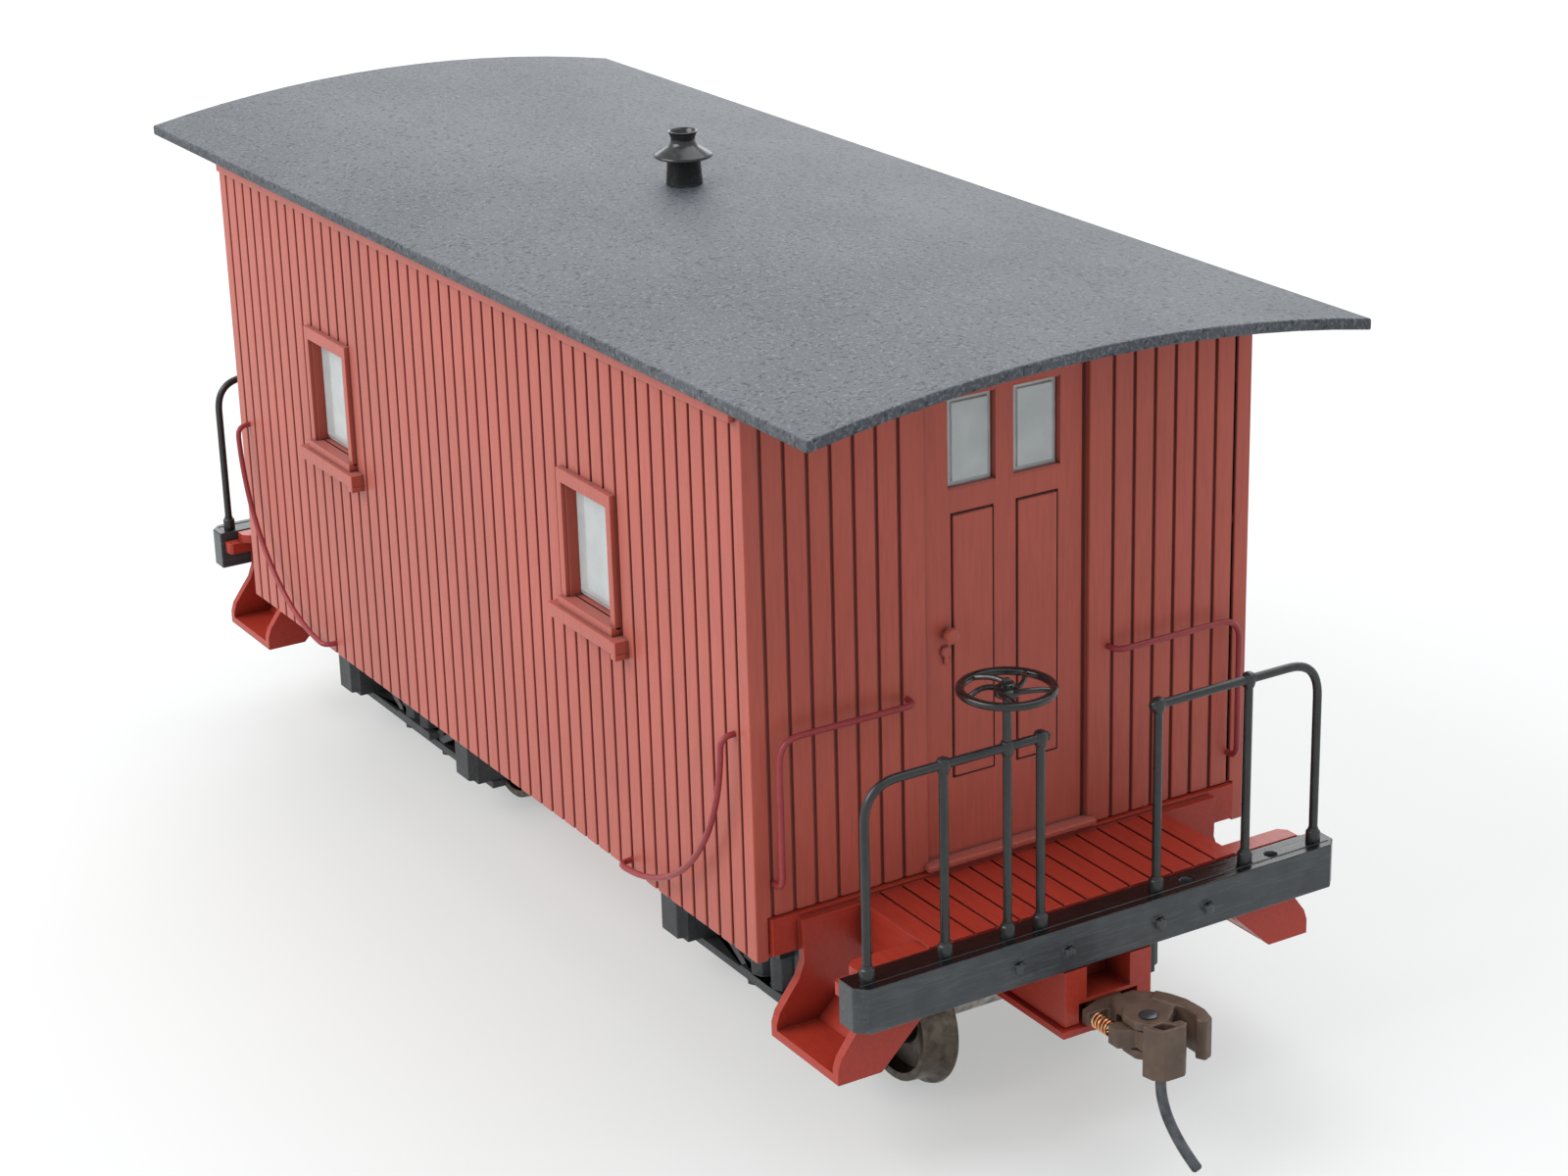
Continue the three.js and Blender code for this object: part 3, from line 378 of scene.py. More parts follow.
def turned(bm, profile, centre, axis="Z", steps=48):
    """Adds a shape turned about an axis: an open outline of (radius, height) that starts and ends
    on the axis."""
    spin = {"Z": Matrix.Identity(4), "X": Matrix.Rotation(math.pi / 2, 4, "Y"),
            "Y": Matrix.Rotation(-math.pi / 2, 4, "X")}[axis]
    to_place = Matrix.Translation(centre) @ spin
    rings = []
    for r, h in profile:
        angles = [FULL_TURN * k / steps for k in range(steps)] if r >= ON_AXIS else [0.0]
        points = (Vector((r * math.cos(a), r * math.sin(a), h)) for a in angles)
        rings.append([bm.verts.new(to_place @ point) for point in points])
    for a, b in zip(rings, rings[1:]):
        for k in range(steps):
            quad = [a[k % len(a)], a[(k + 1) % len(a)], b[(k + 1) % len(b)], b[k % len(b)]]
            corners = list(dict.fromkeys(quad))
            if len(corners) > 2:
                bm.faces.new(corners)


def rounded(points, bend, steps=8):
    """The path through the points with each corner rounded off."""
    p = [Vector(q) for q in points]
    path = [p[0]]
    for before, at, after in zip(p, p[1:], p[2:]):
        reach = min(bend, 0.45 * (before - at).length, 0.45 * (after - at).length)
        start = at + (before - at).normalized() * reach
        end = at + (after - at).normalized() * reach
        for k in range(steps + 1):
            t = k / steps
            path.append(start.lerp(at, t).lerp(at.lerp(end, t), t))
    path.append(p[-1])
    return path


def swept(bm, path, radius, sides=14, nose=0.35):
    """Adds a round rod along a path, its two ends slightly domed."""
    side = None
    rings = []
    last = len(path) - 1
    for i, at in enumerate(path):
        run = (path[min(i + 1, last)] - path[max(i - 1, 0)]).normalized()
        if side is None:
            side = run.orthogonal().normalized()
        side = (side - run * side.dot(run)).normalized()
        other = run.cross(side)
        sections = ((at, radius),)
        if i == 0:
            sections = ((at, radius * (1 - nose)), (at + run * radius * nose, radius))
        elif i == last:
            sections = ((at - run * radius * nose, radius), (at, radius * (1 - nose)))
        for centre, r in sections:
            angles = (FULL_TURN * k / sides for k in range(sides))
            spokes = ((side * math.cos(a) + other * math.sin(a)) * r for a in angles)
            rings.append([bm.verts.new(centre + spoke) for spoke in spokes])
    skin(bm, rings)
    bm.faces.new(rings[0])
    bm.faces.new(rings[-1])


# ---------- body, built board by board ----------
WALL = 1.5                      # thickness
PITCH = 1.95                    # one siding board with its groove
GROOVE, GROOVE_DEPTH = 0.3, 0.28
BOARD_EASE = 0.1                # rounding along a board's edges
CORNER_BOARD = 1.52             # width of a corner board, to the middle of its groove
CORNER_DEPTH = 1.43
END_GROOVES = 7                 # from each corner board towards the door
PLATE_FOOT = 0.05               # the wall behind the boards starts this far above their foot
FASCIA_FOOT, FASCIA_OUT = 42.3, 0.52
FASCIA_SHORT = 0.7              # the fascia ends this far from the corners
FASCIA_GAP = 0.02
HEADER_Y, HEADER_H = 21.85, 3.5     # notch over the underframe's header board: half width, height
HEADER_GAP = 0.06

WINDOW_W = 7.2
GLASS_BORDER = 1.2              # how far the glazing reaches past a window opening, up and down
GLASS_ENDS = 1.6                # and sideways
TRIM_W, TRIM_HEAD, TRIM_LEDGE = 0.8, 1.1, 0.8   # widths of the boards beside, over and below
TRIM_OUT, LEDGE_OUT, SILL_OUT = 0.45, 0.8, 1.2  # how far they and the sill stand out
TRIM_IN = 0.5                   # how far they reach into the wall
TRIM_LAP = 0.04                 # by which the upright boards enter the one over them
JAMB_DROP = 0.3                 # the upright boards start this far below the opening
TRIM_COVER_U, TRIM_COVER_Z = 0.4, 0.5           # siding stops this far from the opening
SILL_REACH, SILL_TOP, SILL_FOOT = 2.0, 0.75, 1.9
LUG_REACH, LUG_TOP, LUG_FOOT = 1.2, 1.7, 2.3    # the lug under one end of the sill
REVEAL = 0.15

DOOR_Y = 7.5
DOOR_RECESS = 0.5
LEAF = 0.35                     # thickness of the door leaf
LEAF_FOOT = 0.5
LEAF_GAP_LEFT, LEAF_GAP_RIGHT = 0.03, 0.42
LIGHT_Y = (0.8, 5.1)            # edges of a door light, from the middle of the door
LIGHT_BELOW, LIGHT_ABOVE = 1.2, 0.7     # how far the glazing reaches past it, down and up
LIGHT_BAR, LIGHT_BAR_LAP = 0.16, 0.02
PANEL_Z = (10.4, 31.8)
PANEL_HALF = 1.95
PANEL_GROOVE, PANEL_RAISE = 0.17, 0.14
THRESHOLD_Y, THRESHOLD_OUT = 7.9, 0.7
KNOB_YZ, LATCH_YZ = (-5.4, 22.4), (-5.5, 21.0)
LATCH_HALF, LATCH_TAIL_Z = 0.18, (20.0, 20.95)
KNOB = ((0, -0.1), (0.36, -0.1), (0.34, 0.4), (0.5, 0.5), (0.64, 0.66), (0.66, 0.82),
        (0.58, 1.0), (0.34, 1.12), (0, 1.16))
LATCH = ((0, -0.1), (0.44, -0.1), (0.44, 0.22), (0.36, 0.3), (0, 0.3))

ROOF_RISE = 2.3
ROOF_HALF = 24.6
ROOF_THICK = 0.9
ROOF_GAP = 0.08

shell_low, shell_high = box_mm("body_shell")
BODY_Z = shell_low[2]
BODY_X = shell_high[0] - THRESHOLD_OUT
BODY_Y = shell_high[1] - SILL_OUT
EAVE = box_mm("roof")[1][2] - ROOF_RISE
ARCH_R = (ROOF_HALF ** 2 + ROOF_RISE ** 2) / (2 * ROOF_RISE)


def under_roof(y):
    """Height of the roof's underside at a distance y from the middle, with a hair of clearance."""
    return EAVE + math.sqrt(ARCH_R ** 2 - y ** 2) - (ARCH_R - ROOF_RISE) - ROOF_THICK - ROOF_GAP


class Wall:
    """A wall in its own axes: u along it, v outwards from its face, z up."""

    def __init__(self, bm, to_place, top=None):
        self.bm, self.to_place, self.top = bm, to_place, top

    def vert(self, u, v, z):
        return self.bm.verts.new(self.to_place @ Vector((u, v, z)))

    def take(self, part):
        part.transform(self.to_place)
        merged(self.bm, part)

    def block(self, u0, u1, v0, v1, z0, z1, edge=0.08, steps=2):
        """A block with eased edges."""
        part = bmesh.new()
        bmesh.ops.create_cube(part, size=1)
        size, centre = (u1 - u0, v1 - v0, z1 - z0), ((u0 + u1) / 2, (v0 + v1) / 2, (z0 + z1) / 2)
        part.transform(Matrix.Translation(centre) @ Matrix.Diagonal((*size, 1)))
        bevelled(part, part.edges[:], edge, steps)
        self.take(part)

    def slab(self, outline, v0, v1, edge=0.1, steps=3):
        """A flat outline of (u, z) points given a thickness and eased edges."""
        part = bmesh.new()
        loops = [[part.verts.new((u, v, z)) for u, z in outline] for v in (v0, v1)]
        skin(part, loops)
        for loop in loops:
            part.faces.new(loop)
        bmesh.ops.recalc_face_normals(part, faces=part.faces)
        bevelled(part, part.edges[:], edge, steps)
        self.take(part)

    def board(self, u0, u1, z0, z1, bottom=0.14):
        """One board with eased long edges and a rounded foot; z1 None runs it up to the roof."""
        back, ease, chamfer = -GROOVE_DEPTH - 0.05, BOARD_EASE, 0.3 * BOARD_EASE
        section = ((u0, back), (u0, -ease), (u0 + chamfer, -chamfer), (u0 + ease, 0),
                   (u1 - ease, 0), (u1 - chamfer, -chamfer), (u1, -ease), (u1, back))
        middle = (u0 + u1) / 2
        loops = []
        for z, wide, sink in ((z0, 0.86, -0.1), (z0 + bottom * 0.4, 0.95, -0.035),
                              (z0 + bottom, 1, 0)):
            loops.append([self.vert(middle + (u - middle) * wide, v + (sink if v > back else 0), z)
                          for u, v in section])
        loops.append([self.vert(u, v, self.top(u) if z1 is None else z1) for u, v in section])
        skin(self.bm, loops)
        self.bm.faces.new(loops[0])
        self.bm.faces.new(loops[-1])

    def plate(self, us, zs, v0, v1, holes):
        """A flat plate cut into cells at the given lines, open where a hole covers a cell; the
        last line of zs may be None, which follows the roof."""
        points = {}

        def at(i, j, v):
            if (i, j, v) not in points:
                height = self.top(us[i]) if zs[j] is None else zs[j]
                points[i, j, v] = self.vert(us[i], v, height)
            return points[i, j, v]

        def solid(i, j):
            if not (0 <= i < len(us) - 1 and 0 <= j < len(zs) - 1):
                return False
            u = (us[i] + us[i + 1]) / 2
            z = (zs[j] + (zs[j + 1] or zs[j] + 1)) / 2
            return not any(a < u < b and c < z < d for a, b, c, d in holes)

        for i in range(len(us) - 1):
            for j in range(len(zs) - 1):
                if not solid(i, j):
                    continue
                corners = ((i, j), (i + 1, j), (i + 1, j + 1), (i, j + 1))
                self.bm.faces.new([at(*c, v1) for c in corners])
                self.bm.faces.new([at(*c, v0) for c in reversed(corners)])
                beyond = ((i, j - 1), (i + 1, j), (i, j + 1), (i - 1, j))
                for k, other in enumerate(beyond):
                    if not solid(*other):
                        a, b = corners[k], corners[(k + 1) % 4]
                        self.bm.faces.new((at(*a, v1), at(*a, v0), at(*b, v0), at(*b, v1)))

    def siding(self, lines, openings, foot):
        """Boards between neighbouring groove lines, cut round the openings (u0, u1, z0, z1)."""
        for a, b in zip(lines, lines[1:]):
            u0, u1 = a + GROOVE / 2, b - GROOVE / 2
            cuts = [o for o in openings if u0 < o[1] and o[0] < u1]
            if not cuts:
                self.board(u0, u1, foot, None)
                continue
            left, right, low, high = cuts[0]
            self.board(u0, u1, foot, low)
            self.board(u0, u1, high, None, bottom=0.02)
            if u0 < left:
                self.board(u0, left, low, high, bottom=0.02)
            if u1 > right:
                self.board(right, u1, low, high, bottom=0.02)


def window_trim(wall, left, right, foot, head):
    """The boards round one window opening, its sill with the lug, and its reveals."""
    outer = (left - TRIM_W, right + TRIM_W)
    for sides in ((outer[0], left), (right, outer[1])):
        wall.block(*sides, -TRIM_IN, TRIM_OUT, foot - JAMB_DROP, head + TRIM_LAP)
    wall.block(*outer, -TRIM_IN, TRIM_OUT, head - TRIM_LAP, head + TRIM_HEAD)
    wall.block(*outer, -TRIM_IN, LEDGE_OUT, foot - TRIM_LEDGE, foot)
    wall.block(left - SILL_REACH, right + SILL_REACH, -TRIM_IN, SILL_OUT, foot - SILL_FOOT,
               foot - SILL_TOP, edge=0.1)
    wall.block(right + LUG_REACH, right + SILL_REACH, -TRIM_IN + 0.1, SILL_OUT - 0.01,
               foot - LUG_FOOT, foot - LUG_TOP, edge=0.06)
    for u in (left, right):
        wall.block(u - REVEAL, u + REVEAL, -WALL, 0.1, foot - 0.1, head + 0.1, edge=0.03)


def side_wall(bm):
    """The right-hand wall with its two windows."""
    facing = Matrix(((1, 0, 0, 0), (0, -1, 0, -BODY_Y), (0, 0, 1, 0), (0, 0, 0, 1)))
    wall = Wall(bm, facing, lambda u: under_roof(BODY_Y))
    glass_low, glass_high = box_mm("glazing_side_right")
    half = WINDOW_W / 2
    middles = (glass_low[0] + GLASS_ENDS + half, glass_high[0] - GLASS_ENDS - half)
    foot, head = glass_low[2] + GLASS_BORDER, glass_high[2] - GLASS_BORDER
    openings = [(x - half, x + half, foot, head) for x in middles]
    ends = (-BODY_X + GROOVE_DEPTH, BODY_X - GROOVE_DEPTH)
    us = sorted({*ends, *(u for o in openings for u in o[:2])})
    wall.plate(us, [BODY_Z + PLATE_FOOT, foot, head, None], -WALL, -GROOVE_DEPTH, openings)
    count = round(2 * BODY_X / PITCH) - 1
    lines = [(i - (count - 1) / 2) * PITCH for i in range(count)]
    covered = [(a - TRIM_COVER_U, b + TRIM_COVER_U, c - TRIM_COVER_Z, d + TRIM_COVER_Z)
               for a, b, c, d in openings]
    wall.siding(lines, covered, BODY_Z)
    for opening in openings:
        window_trim(wall, *opening)
    wall.block(-BODY_X + FASCIA_SHORT, BODY_X - FASCIA_SHORT, -0.3, FASCIA_OUT,
               BODY_Z + FASCIA_FOOT, under_roof(BODY_Y) - FASCIA_GAP, edge=0.1)


def door_leaf(wall, foot, back, lights, light_z):
    """The door: a frame with sunk grooves round two raised panels, and lights above them."""
    face = -DOOR_RECESS
    panel_z = [BODY_Z + z for z in PANEL_Z]
    middles = [(left + right) / 2 for left, right, *_ in lights]
    sunk = [(u - PANEL_HALF, u + PANEL_HALF, *panel_z) for u in middles]
    us = sorted({-DOOR_Y + LEAF_GAP_LEFT, DOOR_Y - LEAF_GAP_RIGHT,
                 *(u for o in lights + sunk for u in o[:2])})
    wall.plate(us, [foot + LEAF_FOOT, *panel_z, *light_z, None], back, face, lights + sunk)
    for left, right, low, high in sunk:
        wall.block(left + PANEL_GROOVE, right - PANEL_GROOVE, back - 0.05, face + PANEL_RAISE,
                   low + PANEL_GROOVE, high - PANEL_GROOVE, edge=0.1, steps=3)
    for left, right, low, high in lights:
        for z0, z1 in ((low - LIGHT_BAR_LAP, low + LIGHT_BAR),
                       (high - LIGHT_BAR, high + LIGHT_BAR_LAP)):
            wall.block(left, right, -WALL, face - 0.02, z0, z1, edge=0.03)
    wall.block(-THRESHOLD_Y, THRESHOLD_Y, -0.6, THRESHOLD_OUT, foot + 0.08, foot + 0.62,
               edge=0.18, steps=3)
    tail_low, tail_high = (BODY_Z + z for z in LATCH_TAIL_Z)
    wall.block(LATCH_YZ[0] - LATCH_HALF, LATCH_YZ[0] + LATCH_HALF, face - 0.05, face + 0.25,
               tail_low, tail_high, edge=0.07)
    turned(wall.bm, KNOB, (BODY_X + face, KNOB_YZ[0], BODY_Z + KNOB_YZ[1]), axis="X", steps=28)
    turned(wall.bm, LATCH, (BODY_X + face, LATCH_YZ[0], BODY_Z + LATCH_YZ[1]), axis="X", steps=20)


def end_wall(bm):
    """The front end wall with its door."""
    facing = Matrix(((0, 1, 0, BODY_X), (1, 0, 0, 0), (0, 0, 1, 0), (0, 0, 0, 1)))
    wall = Wall(bm, facing, under_roof)
    glass_low, glass_high = box_mm("glazing_door_front")
    light_z = (glass_low[2] + LIGHT_BELOW, glass_high[2] - LIGHT_ABOVE)
    near, far = LIGHT_Y
    lights = [(-far, -near, *light_z), (near, far, *light_z)]
    foot = BODY_Z + HEADER_H
    grooves = [-(BODY_Y - CORNER_BOARD) + i * PITCH for i in range(END_GROOVES)]
    edges = sorted({s * u for u in grooves for s in (-1, 1)} | {u for o in lights for u in o[:2]}
                   | {-BODY_Y + GROOVE_DEPTH, -DOOR_Y, DOOR_Y, -HEADER_Y, HEADER_Y,
                      BODY_Y - GROOVE_DEPTH})
    notch = (-HEADER_Y, HEADER_Y, BODY_Z, foot)
    back = -DOOR_RECESS - LEAF
    zs = [BODY_Z + PLATE_FOOT, foot, *light_z, None]
    wall.plate(edges, zs, -WALL, back, [notch, *lights])
    for sign in (-1, 1):
        beside = sorted(u for u in edges if abs(u) >= DOOR_Y and u * sign > 0)
        wall.plate(beside, [BODY_Z + PLATE_FOOT, foot, None], back, -GROOVE_DEPTH, [notch])
    wall.siding([*grooves, -DOOR_Y + GROOVE / 2], [], foot)
    wall.siding([DOOR_Y - GROOVE / 2, *(-u for u in reversed(grooves))], [], foot)
    for sign in (-1, 1):
        inner, low_inner = BODY_Y - CORNER_BOARD + GROOVE / 2, HEADER_Y + HEADER_GAP
        top = under_roof(inner)
        post = ((low_inner, BODY_Z), (BODY_Y, BODY_Z), (BODY_Y, top), (inner, top),
                (inner, foot), (low_inner, foot))
        wall.slab([(sign * u, z) for u, z in post], -CORNER_DEPTH, 0)
    door_leaf(wall, foot, back, lights, light_z)


def body_shell():
    """One side and one end, and the same again turned half a turn."""
    bm = bmesh.new()
    side_wall(bm)
    end_wall(bm)
    other_half = bm.copy()
    other_half.transform(ENDS["rear"])
    merged(bm, other_half)
    piece(bm, BODY_RED, "body_red", "body_shell", smooth=38)


body_shell()


# ---------- pieces that keep the CAD shape, with eased edges ----------
BOLT_PROUD = 0.3                # how far the CAD bolt heads stand out of an end beam
BOLT_Z = 1.7                    # their height above the beam's foot
BEAM_BOLTS = (-8.3, -3.8, 4.6, 9.2)
BOLT_HEAD = ((0, -0.1), (0.46, -0.1), (0.46, 0.32), (0.38, 0.46), (0.16, 0.52), (0, 0.53))
BEAM_LINE_R = 0.05              # the fine raised line on a beam's top
BEAM_LINE_IN, BEAM_LINE_SHORT = 0.8, 0.6        # its distance from the beam's face and ends
RISER_X = (48.3, 56.25)
RISER_FOOT_Y, RISER_HEAD_Y = 18.3, 16.3
RISER_RISE, RISER_THICK = 1.9, 0.7


def beam_detail(end):
    """The fine raised line along the top of an end beam and its round bolt heads."""
    part = bmesh.new()
    low, high = box_mm("end_beam_front")
    face = high[0] - BOLT_PROUD
    ends = (low[1] + BEAM_LINE_SHORT, high[1] - BEAM_LINE_SHORT)
    swept(part, [Vector((face - BEAM_LINE_IN, y, high[2])) for y in ends], BEAM_LINE_R, 8)
    for y in BEAM_BOLTS:
        turned(part, BOLT_HEAD, (face, y, low[2] + BOLT_Z), axis="X", steps=20)
    part.transform(ENDS[end])
    return part


def step_risers():
    """The short sloping boards that close the back of each step, along its cheeks' lower edge."""
    part = bmesh.new()
    across = Matrix(((0, 1, 0, 0), (1, 0, 0, 0), (0, 0, 1, 0), (0, 0, 0, 1)))
    foot = box_mm("underframe")[0][2]
    riser = ((RISER_FOOT_Y, foot), (RISER_HEAD_Y, foot + RISER_RISE),
             (RISER_HEAD_Y, foot + RISER_RISE + RISER_THICK), (RISER_FOOT_Y, foot + RISER_THICK))
    for turn in ENDS.values():
        for sign in (-1, 1):
            outline = [(sign * y, z) for y, z in riser]
            Wall(part, turn @ across).slab(outline, *RISER_X, edge=0.05, steps=1)
    return part


eased("roof", ROOF, "roof_black", edge=0.16, segments=3)
# the weld closes slivers between the steps' cheeks and treads, which an eased edge would fold over
eased("underframe", DECK_RED, "frame_red", edge=0.05, weld=0.07, extra=step_risers())
for side in ("left", "right"):
    eased(f"glazing_side_{side}", CLEAR, "clear", edge=0.1)
for end in ENDS:
    eased(f"glazing_door_{end}", CLEAR, "clear", edge=0.1)
    eased(f"end_beam_{end}", BEAM_BLACK, "frame_black", edge=0.12, segments=3,
          extra=beam_detail(end))
    eased(f"draft_gear_lid_{end}", DECK_RED, "frame_red")
    softened(f"coupler_body_{end}", BROWN, "coupler_brown")
    softened(f"coupler_knuckle_{end}", BROWN, "coupler_brown")
    eased(f"truck_frame_{end}", TRUCK_BLACK, "truck_black")

eased("ballast_weight", STEEL, "steel", edge=0.06)
for kind in ("truck_screw", "draft_gear_screw"):
    for end in ENDS:
        eased(f"{kind}_{end}", STEEL, "steel", edge=0.06)


# ---------- rods, wires and turned pieces, made afresh ----------
GRAB_R = 0.25
GRAB_ARC_STEPS = 12             # of a quarter turn
RAIL_R = 0.35
RAIL_OVERHANG = 0.75            # the rail passes its inner post by this much
RAIL_BEND = 3.0
COLLAR_R = 0.8                  # post foot, the widest part of a railing
JOINT_R = 0.7                   # swelling where a post meets the rail
INNER_TO_MIDDLE = 8.5           # railing posts
STAFF_R, STAFF_TIP_R = RAIL_R * 0.94, 0.3
STAFF_TIP = 1.5                 # length of the thin end of the brake staff
FOOT = ((0, -0.1), (0.57, -0.1), (0.57, 0.82), (0.53, 0.9), (0.44, 0.98), (0.38, 1.2), (0, 1.2))
JOINT = ((0, -0.66), (0.38, -0.66), (0.46, -0.5), (0.52, -0.26), (0.53, 0), (0.52, 0.26),
         (0.44, 0.44), (0.27, 0.55), (0, 0.58))
ALONG_JOINT = [(r * 0.84, h * 0.86) for r, h in JOINT]

RIM_WIDE, RIM_HIGH = 0.33, 0.3  # half the section of a brake wheel's rim
RIM_INSIDE = 0.34               # from the rim's outside to the middle of its section
SPOKES, SPOKE_R, SPOKE_STEPS = 5, 0.21, 12
SPOKE_START, SPOKE_LAP = 0.7, 0.05
SPOKE_SWEEP = 0.85              # how far round a spoke runs, in radians
SPOKE_RISE, SPOKE_DROP = 0.22, 0.05
HUB = ((0, -0.5), (0.9, -0.5), (0.98, -0.4), (0.98, 0.05), (0.86, 0.16), (0.6, 0.22),
       (0.58, 0.44), (0.5, 0.5), (0, 0.5))

STACK_TOP = 4.55                # above the roof
STACK = ((0, -2.0), (1.12, -2.0), (1.12, 0.04), (1.57, 0.04), (1.56, 0.14), (1.41, 2.2),
         (1.46, 2.28), (2.42, 2.33), (2.5, 2.38), (2.5, 2.5), (2.4, 2.6), (1.36, 3.24),
         (1.14, 3.44), (1.04, 3.66), (1.03, 3.98), (1.23, 4.46), (1.23, 4.53), (1.16, STACK_TOP),
         (1.07, 4.5), (0.9, 4.05), (0.86, 3.1), (0, 3.05))

FLANGE_HIGH = 0.68              # a wheel's flange above its tread
SPRING_WIRE, SPRING_TURNS, SPRING_STEPS = 0.1, 5.0, 120
PIN_R = 0.42
PIN_KNEE = 0.42                 # height of the trip pin's bend, as a share of the pin's height
PIN_STEPS = 24


def at_end(bm, end, mirrored=False):
    """Mirrors a front piece in Y if asked, and turns it to its own end."""
    if mirrored:
        bm.transform(Matrix.Diagonal((1, -1, 1, 1)))
    bm.transform(ENDS[end])
    return bm


def grab_iron(end, side, place_name, path, bend, steps):
    bm = bmesh.new()
    swept(bm, rounded(path, bend, steps), GRAB_R, 12)
    piece(at_end(bm, end, side == "left"), WIRE_RED, "wire_red",
          f"grab_iron_{place_name}_{side}_{end}")


def grab_irons(end):
    for side in ("right", "left"):
        low, high = box_mm("grab_iron_side_right_front")
        out, wall = low[1] + GRAB_R, high[1]
        x, z = low[0] + GRAB_R, high[2] - GRAB_R
        across, down = high[0] - low[0] - 2 * GRAB_R, high[2] - low[2] - 2 * GRAB_R
        angles = [math.radians(90 / GRAB_ARC_STEPS * k) for k in range(GRAB_ARC_STEPS + 1)]
        arc = [(x + across * math.cos(a), out, z - down * math.sin(a)) for a in angles]
        path = [(arc[0][0], wall, arc[0][2]), *arc, (arc[-1][0], wall, arc[-1][2])]
        grab_iron(end, side, "side", path, 1.0, 4)

        low, high = box_mm("grab_iron_end_right_front")
        out, wall = high[0] - GRAB_R, low[0]
        y0, y1, z0, z1 = low[1] + GRAB_R, high[1] - GRAB_R, low[2] + GRAB_R, high[2] - GRAB_R
        path = [(wall, y1, z1), (out, y1, z1), (out, y0, z1), (out, y0, z0), (wall, y0, z0)]
        grab_iron(end, side, "end", path, 1.9, 8)


def railing(end, side):
    low, high = box_mm("railing_left_front")
    beam_top = box_mm("end_beam_front")[1][2]
    x = (low[0] + high[0]) / 2
    inner, corner = low[1] + JOINT_R + 0.05, high[1] - COLLAR_R
    middle, rail, base = inner + INNER_TO_MIDDLE, high[2] - JOINT_R, low[2]
    bm = bmesh.new()
    hoop = [(x, inner - RAIL_OVERHANG, rail), (x, corner, rail), (x, corner, base)]
    swept(bm, rounded(hoop, RAIL_BEND, 12), RAIL_R)
    for y in (inner, middle):
        swept(bm, [Vector((x, y, base)), Vector((x, y, rail))], RAIL_R)
        turned(bm, JOINT, (x, y, rail), steps=20)
        turned(bm, ALONG_JOINT, (x, y + 0.1, rail), axis="Y", steps=20)
    for y in (inner, middle, corner):
        turned(bm, FOOT, (x, y, beam_top), steps=24)
    if side == "right":
        y = -middle_mm("brake_wheel_front")[1]
        top = box_mm("railing_right_front")[1][2]
        shoulder = top - STAFF_TIP
        swept(bm, [Vector((x, y, base)), Vector((x, y, shoulder))], STAFF_R)
        swept(bm, [Vector((x, y, shoulder - 0.1)), Vector((x, y, top))], STAFF_TIP_R)
        turned(bm, JOINT, (x, y, rail), steps=20)
        turned(bm, FOOT, (x, y, beam_top), steps=24)
    piece(at_end(bm, end, side == "right"), RAIL_BLACK, "frame_black", f"railing_{side}_{end}")


def ring(bm, radius, half_wide, half_high, centre, steps=72, sides=14, power=0.8):
    """Adds a hoop about Z with a squarish round section."""
    loops = []
    for i in range(steps):
        a = FULL_TURN * i / steps
        loop = []
        for k in range(sides):
            b = FULL_TURN * k / sides
            wide = math.copysign(abs(math.cos(b)) ** power, math.cos(b)) * half_wide
            high = math.copysign(abs(math.sin(b)) ** power, math.sin(b)) * half_high
            r = radius + wide
            loop.append(bm.verts.new(centre + Vector((r * math.cos(a), r * math.sin(a), high))))
        loops.append(loop)
    skin(bm, [*loops, loops[0]])


def brake_wheel(end):
    low, high = box_mm("brake_wheel_front")
    centre = (low + high) / 2
    rim = (high[0] - low[0]) / 2 - RIM_INSIDE
    bm = bmesh.new()
    ring(bm, rim, RIM_WIDE, RIM_HIGH, centre)
    turned(bm, HUB, centre, steps=32)
    for i in range(SPOKES):
        path = []
        for k in range(SPOKE_STEPS + 1):
            t = k / SPOKE_STEPS
            r = SPOKE_START + (rim - SPOKE_START - SPOKE_LAP) * t
            a = FULL_TURN * i / SPOKES + SPOKE_SWEEP * math.sin(math.pi * t / 2)
            height = SPOKE_RISE * math.sin(math.pi * t) - SPOKE_DROP
            path.append(centre + Vector((r * math.cos(a), r * math.sin(a), height)))
        swept(bm, path, SPOKE_R, 10, nose=0)
    piece(at_end(bm, end), GLOSS_BLACK, "gloss_black", f"brake_wheel_{end}")


def smokejack():
    x, y, _ = middle_mm("smokejack")
    roof_top = box_mm("smokejack")[1][2] - STACK_TOP
    bm = bmesh.new()
    turned(bm, STACK, (x, y, roof_top), steps=64)
    piece(bm, GLOSS_BLACK, "gloss_black", "smokejack", smooth=45)


